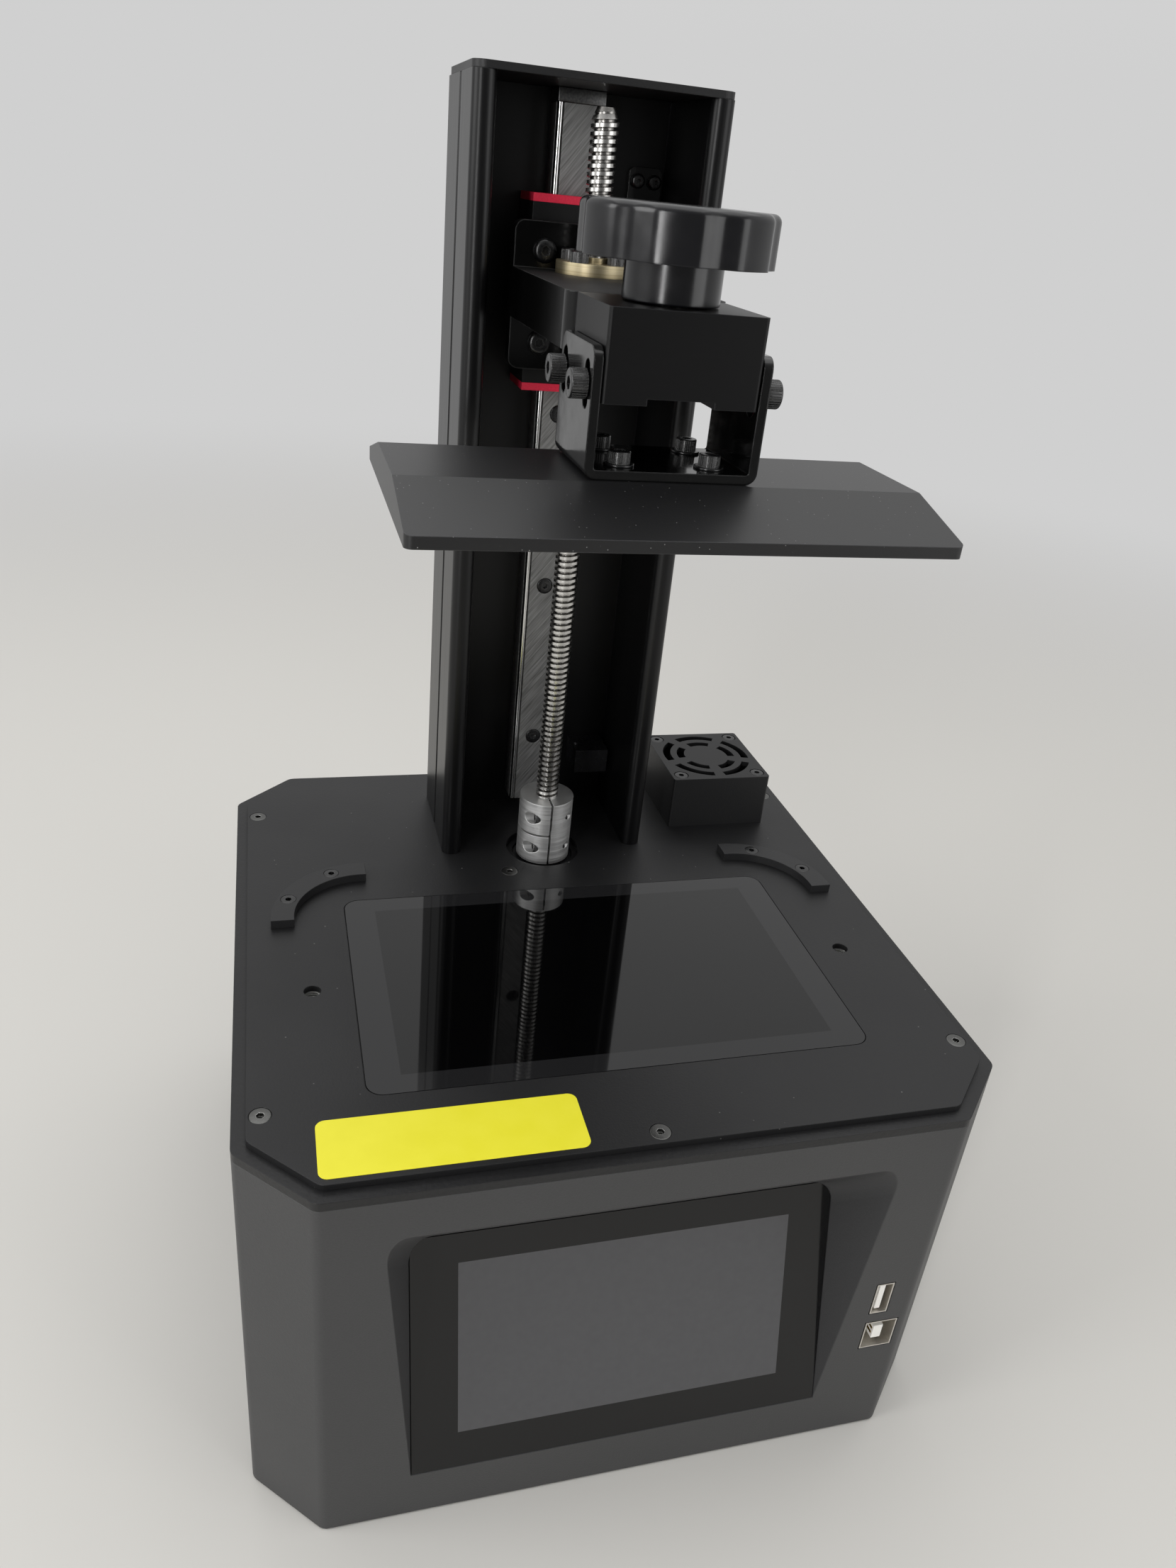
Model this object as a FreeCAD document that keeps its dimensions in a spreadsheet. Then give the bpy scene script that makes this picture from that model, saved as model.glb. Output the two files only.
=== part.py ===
import FreeCAD, Part
import math
import os

import Sketcher

# Resin printer in millimetres: +X right, +Y back, +Z up, origin under the middle of the base.

Vector = FreeCAD.Vector
doc = FreeCAD.newDocument("resin_printer")

# Driving dimensions, one cell each.
DIMENSIONS = {
    # base housing, bottom cover and deck
    "base_width": 221.0,
    "base_depth": 221.0,
    "corner_chamfer": 20.0,
    "corner_round": 4.0,
    "base_clearance": 0.8,
    "seam_height": 133.5,
    "wall": 2.5,
    "deck_thickness": 2.7,
    "plate_thickness": 2.0,
    "plate_inset": 3.8,
    "cover_height": 3.0,
    "cover_thickness": 1.5,
    "cover_screw_head": 1.5,
    "cover_slot_length": 62.0,
    "fit_gap": 0.3,
    "foot_radius": 8.0,
    "foot_inset": 26.0,
    # corner posts and the plate screws above them
    "post_inset": 7.5,
    "post_front_inset": 30.0,
    "post_back_inset": 33.5,
    "post_radius": 5.5,
    "front_boss_radius": 4.5,
    "front_screw_inset": 7.9,
    "plate_screw_radius": 3.0,
    "screw_shank": 1.5,
    # front recess and touch screen
    "recess_bottom": 19.0,
    "recess_drop": 13.3,
    "recess_slope": 23.6,
    "recess_side": 36.8,
    "recess_taper": 8.7,
    "recess_ridge": 0.4,
    "recess_round": 8.0,
    "screen_lean": 19.4,
    "screen_glass": 1.8,
    "display_side": 14.0,
    "display_low": 12.0,
    "display_high": 9.6,
    "display_thickness": 5.0,
    # ports, board and vents
    "board_gap": 0.25,
    "port_gap": 0.4,
    "port_depth": 14.0,
    "port_shell": 0.4,
    "port_floor": 1.6,
    "usb_a_centre": 63.5,
    "usb_a_width": 13.1,
    "usb_a_height": 5.8,
    "usb_a_tongue": 1.8,
    "usb_a_tongue_side": 1.7,
    "usb_a_tongue_end": 1.2,
    "usb_b_centre": 46.5,
    "usb_b_width": 12.0,
    "usb_b_height": 10.9,
    "usb_b_tongue": 3.2,
    "usb_b_tongue_side": 3.8,
    "usb_b_tongue_end": 3.2,
    "tongue_recess": 0.8,
    "board_thickness": 1.6,
    "board_length": 95.0,
    "board_height": 80.0,
    "board_bottom": 24.0,
    "standoff_length": 5.0,
    "standoff_radius": 3.0,
    "standoff_inset": 6.0,
    "bracket_sheet": 1.6,
    "bracket_foot": 18.0,
    "bracket_setback": 29.4,
    "vent_inset": 24.5,
    "vent_length": 112.0,
    "vent_margin": 12.0,
    "vent_pitch": 6.5,
    "vent_slot": 3.2,
    # masking screen and vat
    "print_y": -30.6,
    "lcd_width": 151.0,
    "lcd_depth": 94.5,
    "lcd_round": 5.0,
    "lcd_gap": 0.25,
    "light_width": 124.0,
    "light_depth": 74.0,
    "vat_hole_margin": 12.1,
    "vat_hole_radius": 2.6,
    "vat_thread_radius": 2.5,
    "insert_radius": 4.5,
    "insert_length": 9.0,
    "guide_x": 68.5,
    "guide_y": 4.8,
    "guide_radius": 23.3,
    "guide_width": 7.4,
    "guide_height": 3.0,
    "guide_tab": 1.6,
    "guide_screw_radius": 2.6,
    # lamp
    "reflector_height": 46.0,
    "reflector_wall": 1.5,
    "reflector_flange": 4.0,
    "reflector_step": 3.0,
    "lamp_width": 96.0,
    "lamp_depth": 62.0,
    "lamp_board": 1.6,
    "led_size": 3.5,
    "led_height": 1.2,
    "led_pitch_x": 16.0,
    "led_pitch_y": 15.5,
    "sink_base": 5.0,
    "sink_fin": 18.0,
    "fin_thickness": 2.0,
    # fans
    "base_fan_size": 60.0,
    "base_fan_depth": 15.0,
    "base_fan_hub": 12.0,
    "base_fan_pitch": 50.0,
    "base_fan_x": -46.0,
    "base_fan_z": 60.0,
    "filter_fan_depth": 10.0,
    "filter_fan_hub": 8.0,
    "fan_rim": 1.5,
    "fan_round": 3.0,
    "fan_tip_gap": 1.0,
    "fan_web": 2.0,
    "fan_spoke": 1.5,
    "fan_pin_radius": 1.5,
    "fan_pin_length": 6.0,
    "fan_blade_lean": 3.5,
    "fan_blade_edge": 1.5,
    "running_gap": 0.05,
    "grille_pitch": 5.85,
    # recessed back panel with inlet and switch
    "io_recess": 5.0,
    "io_margin": 4.5,
    "io_z": 34.0,
    "io_width": 60.0,
    "io_height": 34.0,
    "inlet_offset": 16.0,
    "inlet_radius": 4.0,
    "inlet_depth": 12.0,
    "inlet_flange": 6.0,
    "inlet_flange_height": 1.5,
    "jack_radius": 2.8,
    "jack_depth": 9.0,
    "jack_pin": 1.0,
    "jack_pin_length": 8.4,
    "switch_offset": 14.0,
    "switch_width": 15.0,
    "switch_height": 21.0,
    "switch_rim": 2.0,
    "switch_wall": 1.0,
    "switch_depth": 12.0,
    "switch_well": 8.5,
    "rocker_gap": 0.4,
    "rocker_pivot": 1.0,
    "rocker_pivot_depth": 1.0,
    "rocker_crown": 4.0,
    "rocker_valley": 2.0,
    "rocker_keel": 2.0,
    # filter box
    "filter_inset_x": 37.1,
    "filter_inset_y": 35.7,
    "filter_size": 40.0,
    "filter_height": 21.1,
    "filter_wall": 2.0,
    "filter_round": 1.0,
    "filter_pitch": 32.0,
    "filter_boss": 4.0,
    "duct_radius": 14.0,
    "pad_radius": 15.6,
    "pad_height": 10.0,
    "grille_outer": 17.6,
    "grille_slot": 3.0,
    "grille_bar": 2.6,
    "grille_spoke": 3.6,
    "filter_screw_radius": 1.5,
    "filter_screw_head": 2.9,
    "filter_screw_sink": 1.6,
    # column, rail and what is fixed to the web
    "column_inset": 22.5,
    "column_width": 76.0,
    "column_depth": 45.0,
    "column_limb": 7.0,
    "column_web": 5.0,
    "column_height": 246.8,
    "column_round": 3.2,
    "side_groove": 1.6,
    "column_screw_front": 13.5,
    "column_screw_back": 11.25,
    "column_screw_bite": 15.0,
    "column_screw_head": 2.75,
    "column_head_height": 3.0,
    "cap_thickness": 2.0,
    "cap_round": 4.0,
    "rail_width": 15.0,
    "rail_height": 10.0,
    "rail_rise": 5.8,
    "rail_drop": 4.0,
    "rod_radius": 1.0,
    "rail_screw_margin": 27.0,
    "rail_screw_pitch": 60.0,
    "rail_screw_radius": 2.9,
    "rail_screw_head": 1.6,
    "sensor_gap": 1.0,
    "sensor_width": 13.0,
    "sensor_rise": 18.4,
    "sensor_height": 9.4,
    "sensor_depth": 14.0,
    "button_radius": 1.5,
    "button_height": 0.8,
    "web_plate_inset": 12.0,
    "web_plate_width": 11.0,
    "web_plate_drop": 39.0,
    "web_plate_height": 20.5,
    "web_plate_sheet": 2.0,
    "web_plate_round": 2.0,
    "web_screw_radius": 2.2,
    "web_screw_head": 2.0,
    "web_screw_inset": 2.75,
    "web_screw_top": 4.1,
    # drive
    "screw_radius": 4.0,
    "screw_drop": 5.6,
    "shaft_radius": 2.5,
    "shaft_depth": 13.0,
    "coupling_radius": 9.8,
    "coupling_length": 24.5,
    "coupling_rise": 22.8,
    "coupling_slit": 0.8,
    "coupling_hole": 13.6,
    "clamp_screw_offset": 6.75,
    "clamp_screw_head": 2.25,
    "clamp_screw_seat": 3.3,
    "clamp_screw_shank": 1.25,
    "clamp_screw_length": 9.8,
    "motor_width": 42.3,
    "motor_height": 38.0,
    "motor_chamfer": 4.0,
    "motor_pilot": 11.0,
    "motor_pilot_height": 2.0,
    "motor_bore_depth": 19.0,
    "motor_pitch": 31.0,
    "motor_screw_head": 2.75,
    "motor_screw_sink": 1.35,
    "motor_screw_bite": 4.5,
    # carriage
    "carriage_drop": 56.8,
    "slider_length": 56.5,
    "slider_width": 31.0,
    "slider_nose": 11.0,
    "slider_lift": 1.5,
    "seal_thickness": 2.3,
    "wing_width": 43.0,
    "wing_height": 42.0,
    "wing_thickness": 5.5,
    "wing_round": 3.0,
    "wing_screw_x": 12.3,
    "wing_screw_z": 13.0,
    "wing_screw_radius": 3.5,
    "wing_screw_head": 2.2,
    "wing_screw_bite": 3.0,
    "arm_rise": 8.1,
    "arm_thickness": 14.1,
    "arm_reach": 15.4,
    "arm_round": 5.0,
    "nut_gap": 0.5,
    "nut_flange": 11.0,
    "nut_flange_height": 3.4,
    "nut_body": 5.0,
    "nut_stem": 10.1,
    "nut_hub": 1.5,
    "nut_screw_circle": 8.0,
    "nut_screw_radius": 2.75,
    "nut_screw_head": 3.0,
    "nut_screw_bite": 6.0,
    "flag_gap": 0.6,
    "flag_width": 4.5,
    "flag_sheet": 1.5,
    "flag_height": 13.0,
    # platform head
    "tongue_width": 25.0,
    "tongue_thickness": 8.0,
    "tongue_drop": 4.3,
    "tongue_length": 27.0,
    "block_width": 39.2,
    "block_height": 21.3,
    "block_nose": 16.2,
    "block_gap": 0.4,
    "block_round": 0.9,
    "groove_width": 17.0,
    "groove_depth": 1.6,
    "stud_radius": 4.0,
    "stud_gap": 0.2,
    "knob_neck_radius": 12.0,
    "knob_neck_height": 9.2,
    "knob_pitch_radius": 21.8,
    "knob_height": 12.0,
    "knob_lobe_radius": 7.68,
    "knob_scallop_radius": 8.6,
    "knob_round": 2.2,
    "knob_insert": 9.0,
    # levelling yoke and build plate
    "yoke_wall": 2.4,
    "yoke_setback": 0.2,
    "yoke_height": 30.3,
    "yoke_bend": 3.0,
    "slot_width": 4.5,
    "slot_length": 11.2,
    "slot_spread": 11.0,
    "level_rise": 3.6,
    "level_play": 2.5,
    "level_screw_radius": 2.0,
    "level_screw_head": 3.5,
    "level_head_length": 4.0,
    "level_screw_bite": 6.0,
    "yoke_screw_x": 11.8,
    "yoke_screw_y": 9.2,
    "yoke_screw_head": 2.75,
    "yoke_head_height": 3.0,
    "yoke_screw_bite": 5.2,
    "washer_radius": 3.8,
    "washer_height": 0.6,
    "platform_width": 135.6,
    "platform_depth": 86.4,
    "platform_flat": 34.6,
    "platform_rise": 6.7,
    "platform_edge": 3.0,
    "platform_drop": 17.7,
    "platform_round": 2.0,
    "screen_gap": 0.9,
}

sheet = doc.addObject("Spreadsheet::Sheet", "dims")
for row, (alias, number) in enumerate(DIMENSIONS.items(), 1):
    sheet.set(f"A{row}", alias)
    sheet.set(f"B{row}", str(number))
    sheet.setAlias(f"B{row}", alias)
doc.recompute()


class Size:
    """A length with the sheet expression that gives it, so that sums of lengths stay bound to the sheet."""

    def __init__(self, text, value):
        self.text = text
        self.value = value

    def combined(self, other, sign, value):
        return Size(f"({self.text} {sign} {as_size(other).text})", value)

    def __add__(self, other):
        return self.combined(other, "+", self.value + as_size(other).value)

    def __radd__(self, other):
        return as_size(other) + self

    def __sub__(self, other):
        return self.combined(other, "-", self.value - as_size(other).value)

    def __rsub__(self, other):
        return as_size(other) - self

    def __mul__(self, other):
        return self.combined(other, "*", self.value * as_size(other).value)

    def __rmul__(self, other):
        return as_size(other) * self

    def __truediv__(self, other):
        return self.combined(other, "/", self.value / as_size(other).value)

    def __neg__(self):
        return 0 - self


def as_size(number):
    """A plain number as a Size, or a Size as it is."""
    if isinstance(number, Size):
        return number
    return Size(repr(float(number)), float(number))


def dim(alias):
    """The length held in one cell of the sheet."""
    return Size(f"dims.{alias}", DIMENSIONS[alias])


def bind(thing, name, size):
    """Tie one property to its expression."""
    thing.setExpression(name, as_size(size).text)


# Sketches and features


def new_body(node):
    """A body for one node; a group of equal pieces may hold several solids."""
    body = doc.addObject("PartDesign::Body", node)
    body.Label = node
    body.AllowCompound = True
    return body


def origin_feature(body, role):
    """One of the body's own planes or axes."""
    return next(item for item in body.Origin.OriginFeatures if item.Role == role)


def new_sketch(body, plane, level):
    """A sketch parallel to the XY, XZ or YZ plane at a level along its third axis."""
    sketch = body.newObject("Sketcher::SketchObject", f"{body.Name}_sketch")
    sketch.AttachmentSupport = [(origin_feature(body, f"{plane}_Plane"), "")]
    sketch.MapMode = "FlatFace"
    offset = -as_size(level) if plane == "XZ" else level
    bind(sketch, "AttachmentOffset.Base.z", offset)
    return sketch


def fix_point(sketch, geometry, vertex, x, y):
    """Hold a point at x and y from the sketch's origin."""
    for kind, size in (("DistanceX", as_size(x)), ("DistanceY", as_size(y))):
        constraint = Sketcher.Constraint(kind, -1, 1, geometry, vertex, size.value)
        index = sketch.addConstraint(constraint)
        bind(sketch, f"Constraints[{index}]", size)


def fix_radius(sketch, geometry, radius):
    index = sketch.addConstraint(Sketcher.Constraint("Radius", geometry, as_size(radius).value))
    bind(sketch, f"Constraints[{index}]", radius)


def circle(sketch, x, y, radius):
    x, y, radius = as_size(x), as_size(y), as_size(radius)
    shape = Part.Circle(Vector(x.value, y.value, 0), Vector(0, 0, 1), radius.value)
    geometry = sketch.addGeometry(shape)
    fix_point(sketch, geometry, 3, x, y)
    fix_radius(sketch, geometry, radius)


def arc_between(start, end, radius):
    """Arc from start to end; a positive radius turns left on the way, a negative one right."""
    half = (end - start) * 0.5
    rise = math.sqrt(max(radius * radius - half.Length ** 2, 0.0))
    side = Vector(-half.y, half.x, 0).normalize() * math.copysign(rise, radius)
    centre = start + half + side
    first, last = (start, end) if radius > 0 else (end, start)
    turn = [math.atan2(point.y - centre.y, point.x - centre.x) for point in (first, last)]
    round_line = Part.Circle(centre, Vector(0, 0, 1), abs(radius))
    return Part.ArcOfCircle(round_line, turn[0], turn[1])


def outline(sketch, corners):
    """Closed outline through (x, y) corners; a third value is the radius of an arc that leads there."""
    places = [tuple(as_size(value) for value in corner) for corner in corners]
    spans = []
    for index, corner in enumerate(places):
        following = places[(index + 1) % len(places)]
        start = Vector(corner[0].value, corner[1].value, 0)
        end = Vector(following[0].value, following[1].value, 0)
        if len(following) == 2:
            geometry = sketch.addGeometry(Part.LineSegment(start, end))
            spans.append((geometry, 1, 2))
            continue
        bend = following[2]
        geometry = sketch.addGeometry(arc_between(start, end, bend.value))
        spans.append((geometry, 1, 2) if bend.value > 0 else (geometry, 2, 1))
    for index, corner in enumerate(places):
        geometry, head, tail = spans[index]
        following, next_head, next_tail = spans[(index + 1) % len(spans)]
        sketch.addConstraint(Sketcher.Constraint("Coincident", geometry, tail, following, next_head))
        fix_point(sketch, geometry, head, corner[0], corner[1])
    for index, corner in enumerate(places):
        if len(corner) == 3:
            radius = corner[2] if corner[2].value > 0 else -corner[2]
            fix_radius(sketch, spans[index - 1][0], radius)


def rectangle(sketch, left, bottom, right, top):
    outline(sketch, [(left, bottom), (right, bottom), (right, top), (left, top)])


def rounded(sketch, left, bottom, right, top, radius):
    """Rectangle with four round corners."""
    outline(sketch, [
        (left + radius, bottom, radius),
        (right - radius, bottom),
        (right, bottom + radius, radius),
        (right, top - radius),
        (right - radius, top, radius),
        (left + radius, top),
        (left, top - radius, radius),
        (left, bottom + radius),
    ])


def slot(sketch, x, y, width, length):
    """Upright slot with round ends about (x, y)."""
    x, y, width, length = as_size(x), as_size(y), as_size(width), as_size(length)
    radius = width / 2
    reach = length / 2 - radius
    arcs = []
    for sign, first, last in ((1, 0.0, math.pi), (-1, math.pi, 2 * math.pi)):
        level = y + sign * reach
        ring = Part.Circle(Vector(x.value, level.value, 0), Vector(0, 0, 1), radius.value)
        arcs.append(sketch.addGeometry(Part.ArcOfCircle(ring, first, last)))
        fix_point(sketch, arcs[-1], 3, x, level)
        fix_radius(sketch, arcs[-1], radius)
    upper, lower = arcs
    for side, upper_end, lower_end in ((-1, 2, 1), (1, 1, 2)):
        edge_x = x.value + side * radius.value
        high = Vector(edge_x, y.value + reach.value, 0)
        low = Vector(edge_x, y.value - reach.value, 0)
        edge = sketch.addGeometry(Part.LineSegment(high, low))
        sketch.addConstraint(Sketcher.Constraint("Tangent", upper, upper_end, edge, 1))
        sketch.addConstraint(Sketcher.Constraint("Tangent", lower, lower_end, edge, 2))


def pad(body, sketch, length):
    """Grow the sketch towards the rising side of its third axis."""
    feature = body.newObject("PartDesign::Pad", f"{body.Name}_pad")
    feature.Profile = sketch
    bind(feature, "Length", length)
    feature.Reversed = sketch.AttachmentSupport[0][0].Role == "XZ_Plane"
    body.Tip = feature
    return feature


def pocket(body, sketch, length):
    """Cut the sketch towards the rising side of its third axis."""
    feature = body.newObject("PartDesign::Pocket", f"{body.Name}_cut")
    feature.Profile = sketch
    bind(feature, "Length", length)
    feature.Reversed = sketch.AttachmentSupport[0][0].Role != "XZ_Plane"
    body.Tip = feature
    return feature


def loft(body, kind, sketches):
    """Straight-sided loft through sketches: kind is Additive or Subtractive."""
    feature = body.newObject(f"PartDesign::{kind}Loft", f"{body.Name}_loft")
    feature.Profile = sketches[0]
    feature.Sections = sketches[1:]
    feature.Ruled = True
    body.Tip = feature
    return feature


def fillet(body, wanted, radius):
    """Round every edge of the body that passes the test."""
    doc.recompute()
    base = body.Tip
    names = [f"Edge{index}" for index, edge in enumerate(base.Shape.Edges, 1) if wanted(edge)]
    feature = body.newObject("PartDesign::Fillet", f"{body.Name}_fillet")
    feature.Base = (base, names)
    bind(feature, "Radius", radius)
    body.Tip = feature
    return feature


def is_upright(edge):
    """A straight edge that runs along Z."""
    first, last = edge.Vertexes[0].Point, edge.Vertexes[-1].Point
    return len(edge.Vertexes) == 2 and (last - first).cross(Vector(0, 0, 1)).Length < 1e-6


def polar(body, features, count):
    """Repeat features about the body's own Z axis."""
    pattern = body.newObject("PartDesign::PolarPattern", f"{body.Name}_polar")
    pattern.Originals = features
    pattern.Axis = (origin_feature(body, "Z_Axis"), [""])
    pattern.Occurrences = count
    body.Tip = pattern
    return pattern


def discs(body, plane, level, length, centres, radius):
    """Pad equal round pieces."""
    sketch = new_sketch(body, plane, level)
    for x, y in centres:
        circle(sketch, x, y, radius)
    return pad(body, sketch, length)


def drill(body, plane, level, length, centres, radius):
    """Cut equal round holes."""
    sketch = new_sketch(body, plane, level)
    for x, y in centres:
        circle(sketch, x, y, radius)
    return pocket(body, sketch, length)


def block(body, plane, level, length, corners):
    """Pad a rectangle given as left, bottom, right, top."""
    sketch = new_sketch(body, plane, level)
    rectangle(sketch, *corners)
    return pad(body, sketch, length)


def cut_block(body, plane, level, length, corners):
    """Cut a rectangle given as left, bottom, right, top."""
    sketch = new_sketch(body, plane, level)
    rectangle(sketch, *corners)
    return pocket(body, sketch, length)


# Levels and places that several pieces share: heights first, then distances from front to back

deck_top = dim("seam_height") + dim("deck_thickness")
plate_top = deck_top + dim("plate_thickness")
cover_top = dim("cover_height") + dim("cover_thickness")
recess_top = dim("seam_height") - dim("recess_drop")
screen_top = recess_top - dim("recess_slope")
screen_rise = screen_top - dim("recess_bottom")
display_bottom = dim("recess_bottom") + dim("display_low")
display_top = screen_top - dim("display_high")
column_top = plate_top + dim("column_height")
rail_bottom = plate_top + dim("rail_rise")
rail_top = column_top - dim("rail_drop")
coupling_top = plate_top + dim("coupling_rise")
shaft_top = coupling_top - dim("shaft_depth")
screw_bottom = shaft_top + dim("fit_gap")
sensor_bottom = plate_top + dim("sensor_rise")
button_top = sensor_bottom + dim("sensor_height") + dim("button_height")
slider_middle = column_top - dim("carriage_drop")
arm_top = slider_middle + dim("arm_rise")
tongue_top = arm_top - dim("tongue_drop")
block_bottom = arm_top - dim("block_height")
level_height = block_bottom + dim("level_rise")
platform_top = block_bottom - dim("platform_drop")
platform_bottom = platform_top - dim("platform_rise") - dim("platform_edge")
travel_down = platform_bottom - plate_top - dim("level_play") - dim("screen_gap")

front_face = -dim("base_depth") / 2
back_face = dim("base_depth") / 2
io_face = back_face - dim("io_recess")
column_back = back_face - dim("column_inset")
column_front = column_back - dim("column_depth")
web_front = column_back - dim("column_web")
rail_face = web_front - dim("rail_height")
slider_front = rail_face - dim("slider_nose")
wing_face = slider_front - dim("wing_thickness")
screw_y = wing_face - dim("nut_gap") - dim("nut_flange")
arm_front = dim("print_y") + dim("arm_reach")
block_back = arm_front - dim("block_gap")
block_front = dim("print_y") - dim("block_nose")

recess_half = dim("base_width") / 2 - dim("recess_side")
screen_half = recess_half - dim("recess_taper")
display_half = screen_half - dim("display_side")
port_seat = recess_half + dim("wall") / 2 + dim("board_gap") + dim("board_thickness")
io_x = dim("base_width") / 2 - dim("corner_chamfer") - dim("io_margin") - dim("io_width") / 2
inlet_place = (io_x - dim("inlet_offset"), dim("io_z"))
switch_place = (io_x + dim("switch_offset"), dim("io_z"))
filter_x = dim("base_width") / 2 - dim("filter_inset_x")
filter_y = dim("base_depth") / 2 - dim("filter_inset_y")
limb_inside = dim("column_width") / 2 - dim("column_limb")
flag_middle = dim("slider_width") / 2 + dim("flag_gap") + dim("flag_width") / 2
button_place = (flag_middle, web_front - dim("sensor_depth") / 2)
CHAMFER_INSET = 2 - math.sqrt(2)
NO_SHIFT = as_size(0)


def four_corners(x, y, reach_x, reach_y):
    """Places at the corners of a rectangle about (x, y)."""
    return [(x + side * reach_x, y + end * reach_y) for side in (-1, 1) for end in (-1, 1)]


screw_axis = [(NO_SHIFT, screw_y)]
head_axis = [(NO_SHIFT, dim("print_y"))]
motor_screw_places = four_corners(NO_SHIFT, screw_y, dim("motor_pitch") / 2, dim("motor_pitch") / 2)
filter_screw_places = four_corners(filter_x, filter_y, dim("filter_pitch") / 2, dim("filter_pitch") / 2)
wing_screw_places = four_corners(NO_SHIFT, slider_middle, dim("wing_screw_x"), dim("wing_screw_z"))
nut_screw_reach = dim("nut_screw_circle") * math.sqrt(0.5)
nut_screw_places = four_corners(NO_SHIFT, screw_y, nut_screw_reach, nut_screw_reach)
yoke_screw_places = four_corners(NO_SHIFT, dim("print_y"), dim("yoke_screw_x"), dim("yoke_screw_y"))
post_x = dim("base_width") / 2 - dim("post_inset")
post_places = [
    (side * post_x, y)
    for side in (-1, 1)
    for y in (front_face + dim("post_front_inset"), back_face - dim("post_back_inset"))
]
front_screw_place = (NO_SHIFT, front_face + dim("front_screw_inset"))
plate_screw_places = post_places + [front_screw_place, motor_screw_places[0]]
hidden_motor_screw_places = motor_screw_places[1:]
vat_hole_x = dim("lcd_width") / 2 + dim("vat_hole_margin")
vat_hole_places = [(side * vat_hole_x, dim("print_y")) for side in (-1, 1)]
column_screw_places = [
    (side * (limb_inside + dim("column_limb") / 2), y)
    for side in (-1, 1)
    for y in (column_front + dim("column_screw_front"), column_back - dim("column_screw_back"))
]


def base_outline(sketch, inset):
    """Plan of the base with its cut corners, drawn a constant distance inside the housing's face."""
    x = dim("base_width") / 2 - inset
    y = dim("base_depth") / 2 - inset
    cut = dim("corner_chamfer") - inset * CHAMFER_INSET
    outline(sketch, [
        (-x + cut, -y), (x - cut, -y), (x, -y + cut), (x, y - cut),
        (x - cut, y), (-x + cut, y), (-x, y - cut), (-x, -y + cut),
    ])


def base_slab(node, level, thickness, inset):
    """A plate with the base's plan."""
    body = new_body(node)
    sketch = new_sketch(body, "XY", level)
    base_outline(sketch, as_size(inset))
    pad(body, sketch, thickness)
    fillet(body, is_upright, dim("corner_round"))
    return body


def centred_rectangle(sketch, x, y, width, depth):
    rectangle(sketch, x - width / 2, y - depth / 2, x + width / 2, y + depth / 2)


# Base housing: moulded shell with posts, a sloped screen recess, vents and cut-outs


def screen_depth(height, extra):
    """Distance from the base's middle to the leaning screen plane at a height, moved back by extra."""
    share = (height - dim("recess_bottom")) / screen_rise
    return front_face + extra + dim("screen_lean") * share


def make_housing():
    height = dim("seam_height") - dim("base_clearance")
    body = base_slab("housing", dim("base_clearance"), height, 0)
    cavity = new_sketch(body, "XY", dim("base_clearance"))
    base_outline(cavity, dim("wall"))
    pocket(body, cavity, height)
    discs(body, "XY", cover_top, dim("seam_height") - cover_top, post_places, dim("post_radius"))
    add_screen_tray(body)
    cut_ports(body)
    cut_vents(body)
    cut_back_openings(body)


def add_screen_tray(body):
    """Inner wall behind the recess, then the recess, the glass seat and the display window."""
    bottom = dim("recess_bottom")
    wall, glass, lean = dim("wall"), dim("screen_glass"), dim("screen_lean")
    half = recess_half + wall / 2
    tray = new_sketch(body, "YZ", -half)
    outline(tray, [
        (front_face + wall / 2, bottom - wall),
        (front_face + glass + wall * 2, bottom - wall),
        (front_face + glass + wall + lean, screen_top),
        (front_face + glass + wall + lean, screen_top + wall),
        (front_face + wall * 2, recess_top + wall),
        (front_face + wall / 2, recess_top + wall),
    ])
    pad(body, tray, half * 2)
    mouth = new_sketch(body, "XZ", front_face)
    outline(mouth, [
        (-screen_half, bottom), (screen_half, bottom), (recess_half, recess_top), (-recess_half, recess_top),
    ])
    ridge = new_sketch(body, "XZ", front_face + lean)
    rectangle(ridge, -screen_half, screen_top - dim("recess_ridge"), screen_half, screen_top)
    loft(body, "Subtractive", [mouth, ridge])
    fillet(body, is_recess_corner, dim("recess_round"))
    seat = new_sketch(body, "YZ", -screen_half)
    leaning_slab(seat, bottom, screen_top, NO_SHIFT, glass)
    pocket(body, seat, screen_half * 2)
    gap = dim("fit_gap")
    window = (-display_half - gap, display_bottom - gap, display_half + gap, display_top + gap)
    cut_block(body, "XZ", front_face + wall, lean + glass + wall, window)
    boss_low = recess_top + wall / 2
    boss_height = dim("seam_height") - boss_low
    discs(body, "XY", boss_low, boss_height, [front_screw_place], dim("front_boss_radius"))


def is_recess_corner(edge):
    """The two slanted upper side edges of the screen recess."""
    ends = [vertex.Point for vertex in edge.Vertexes]
    if len(ends) != 2:
        return False
    front, back = sorted(ends, key=lambda point: point.y)
    on_face = abs(front.y - front_face.value) < 1e-4
    at_corner = abs(front.z - recess_top.value) < 1e-4
    return on_face and at_corner and back.y > front.y + 1 and abs(back.x) < abs(front.x)


def leaning_slab(sketch, low, high, near, thickness):
    """Side view of a slab on the leaning screen plane, from near to near plus thickness behind it."""
    outline(sketch, [
        (screen_depth(low, near), low), (screen_depth(low, near + thickness), low),
        (screen_depth(high, near + thickness), high), (screen_depth(high, near), high),
    ])


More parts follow.
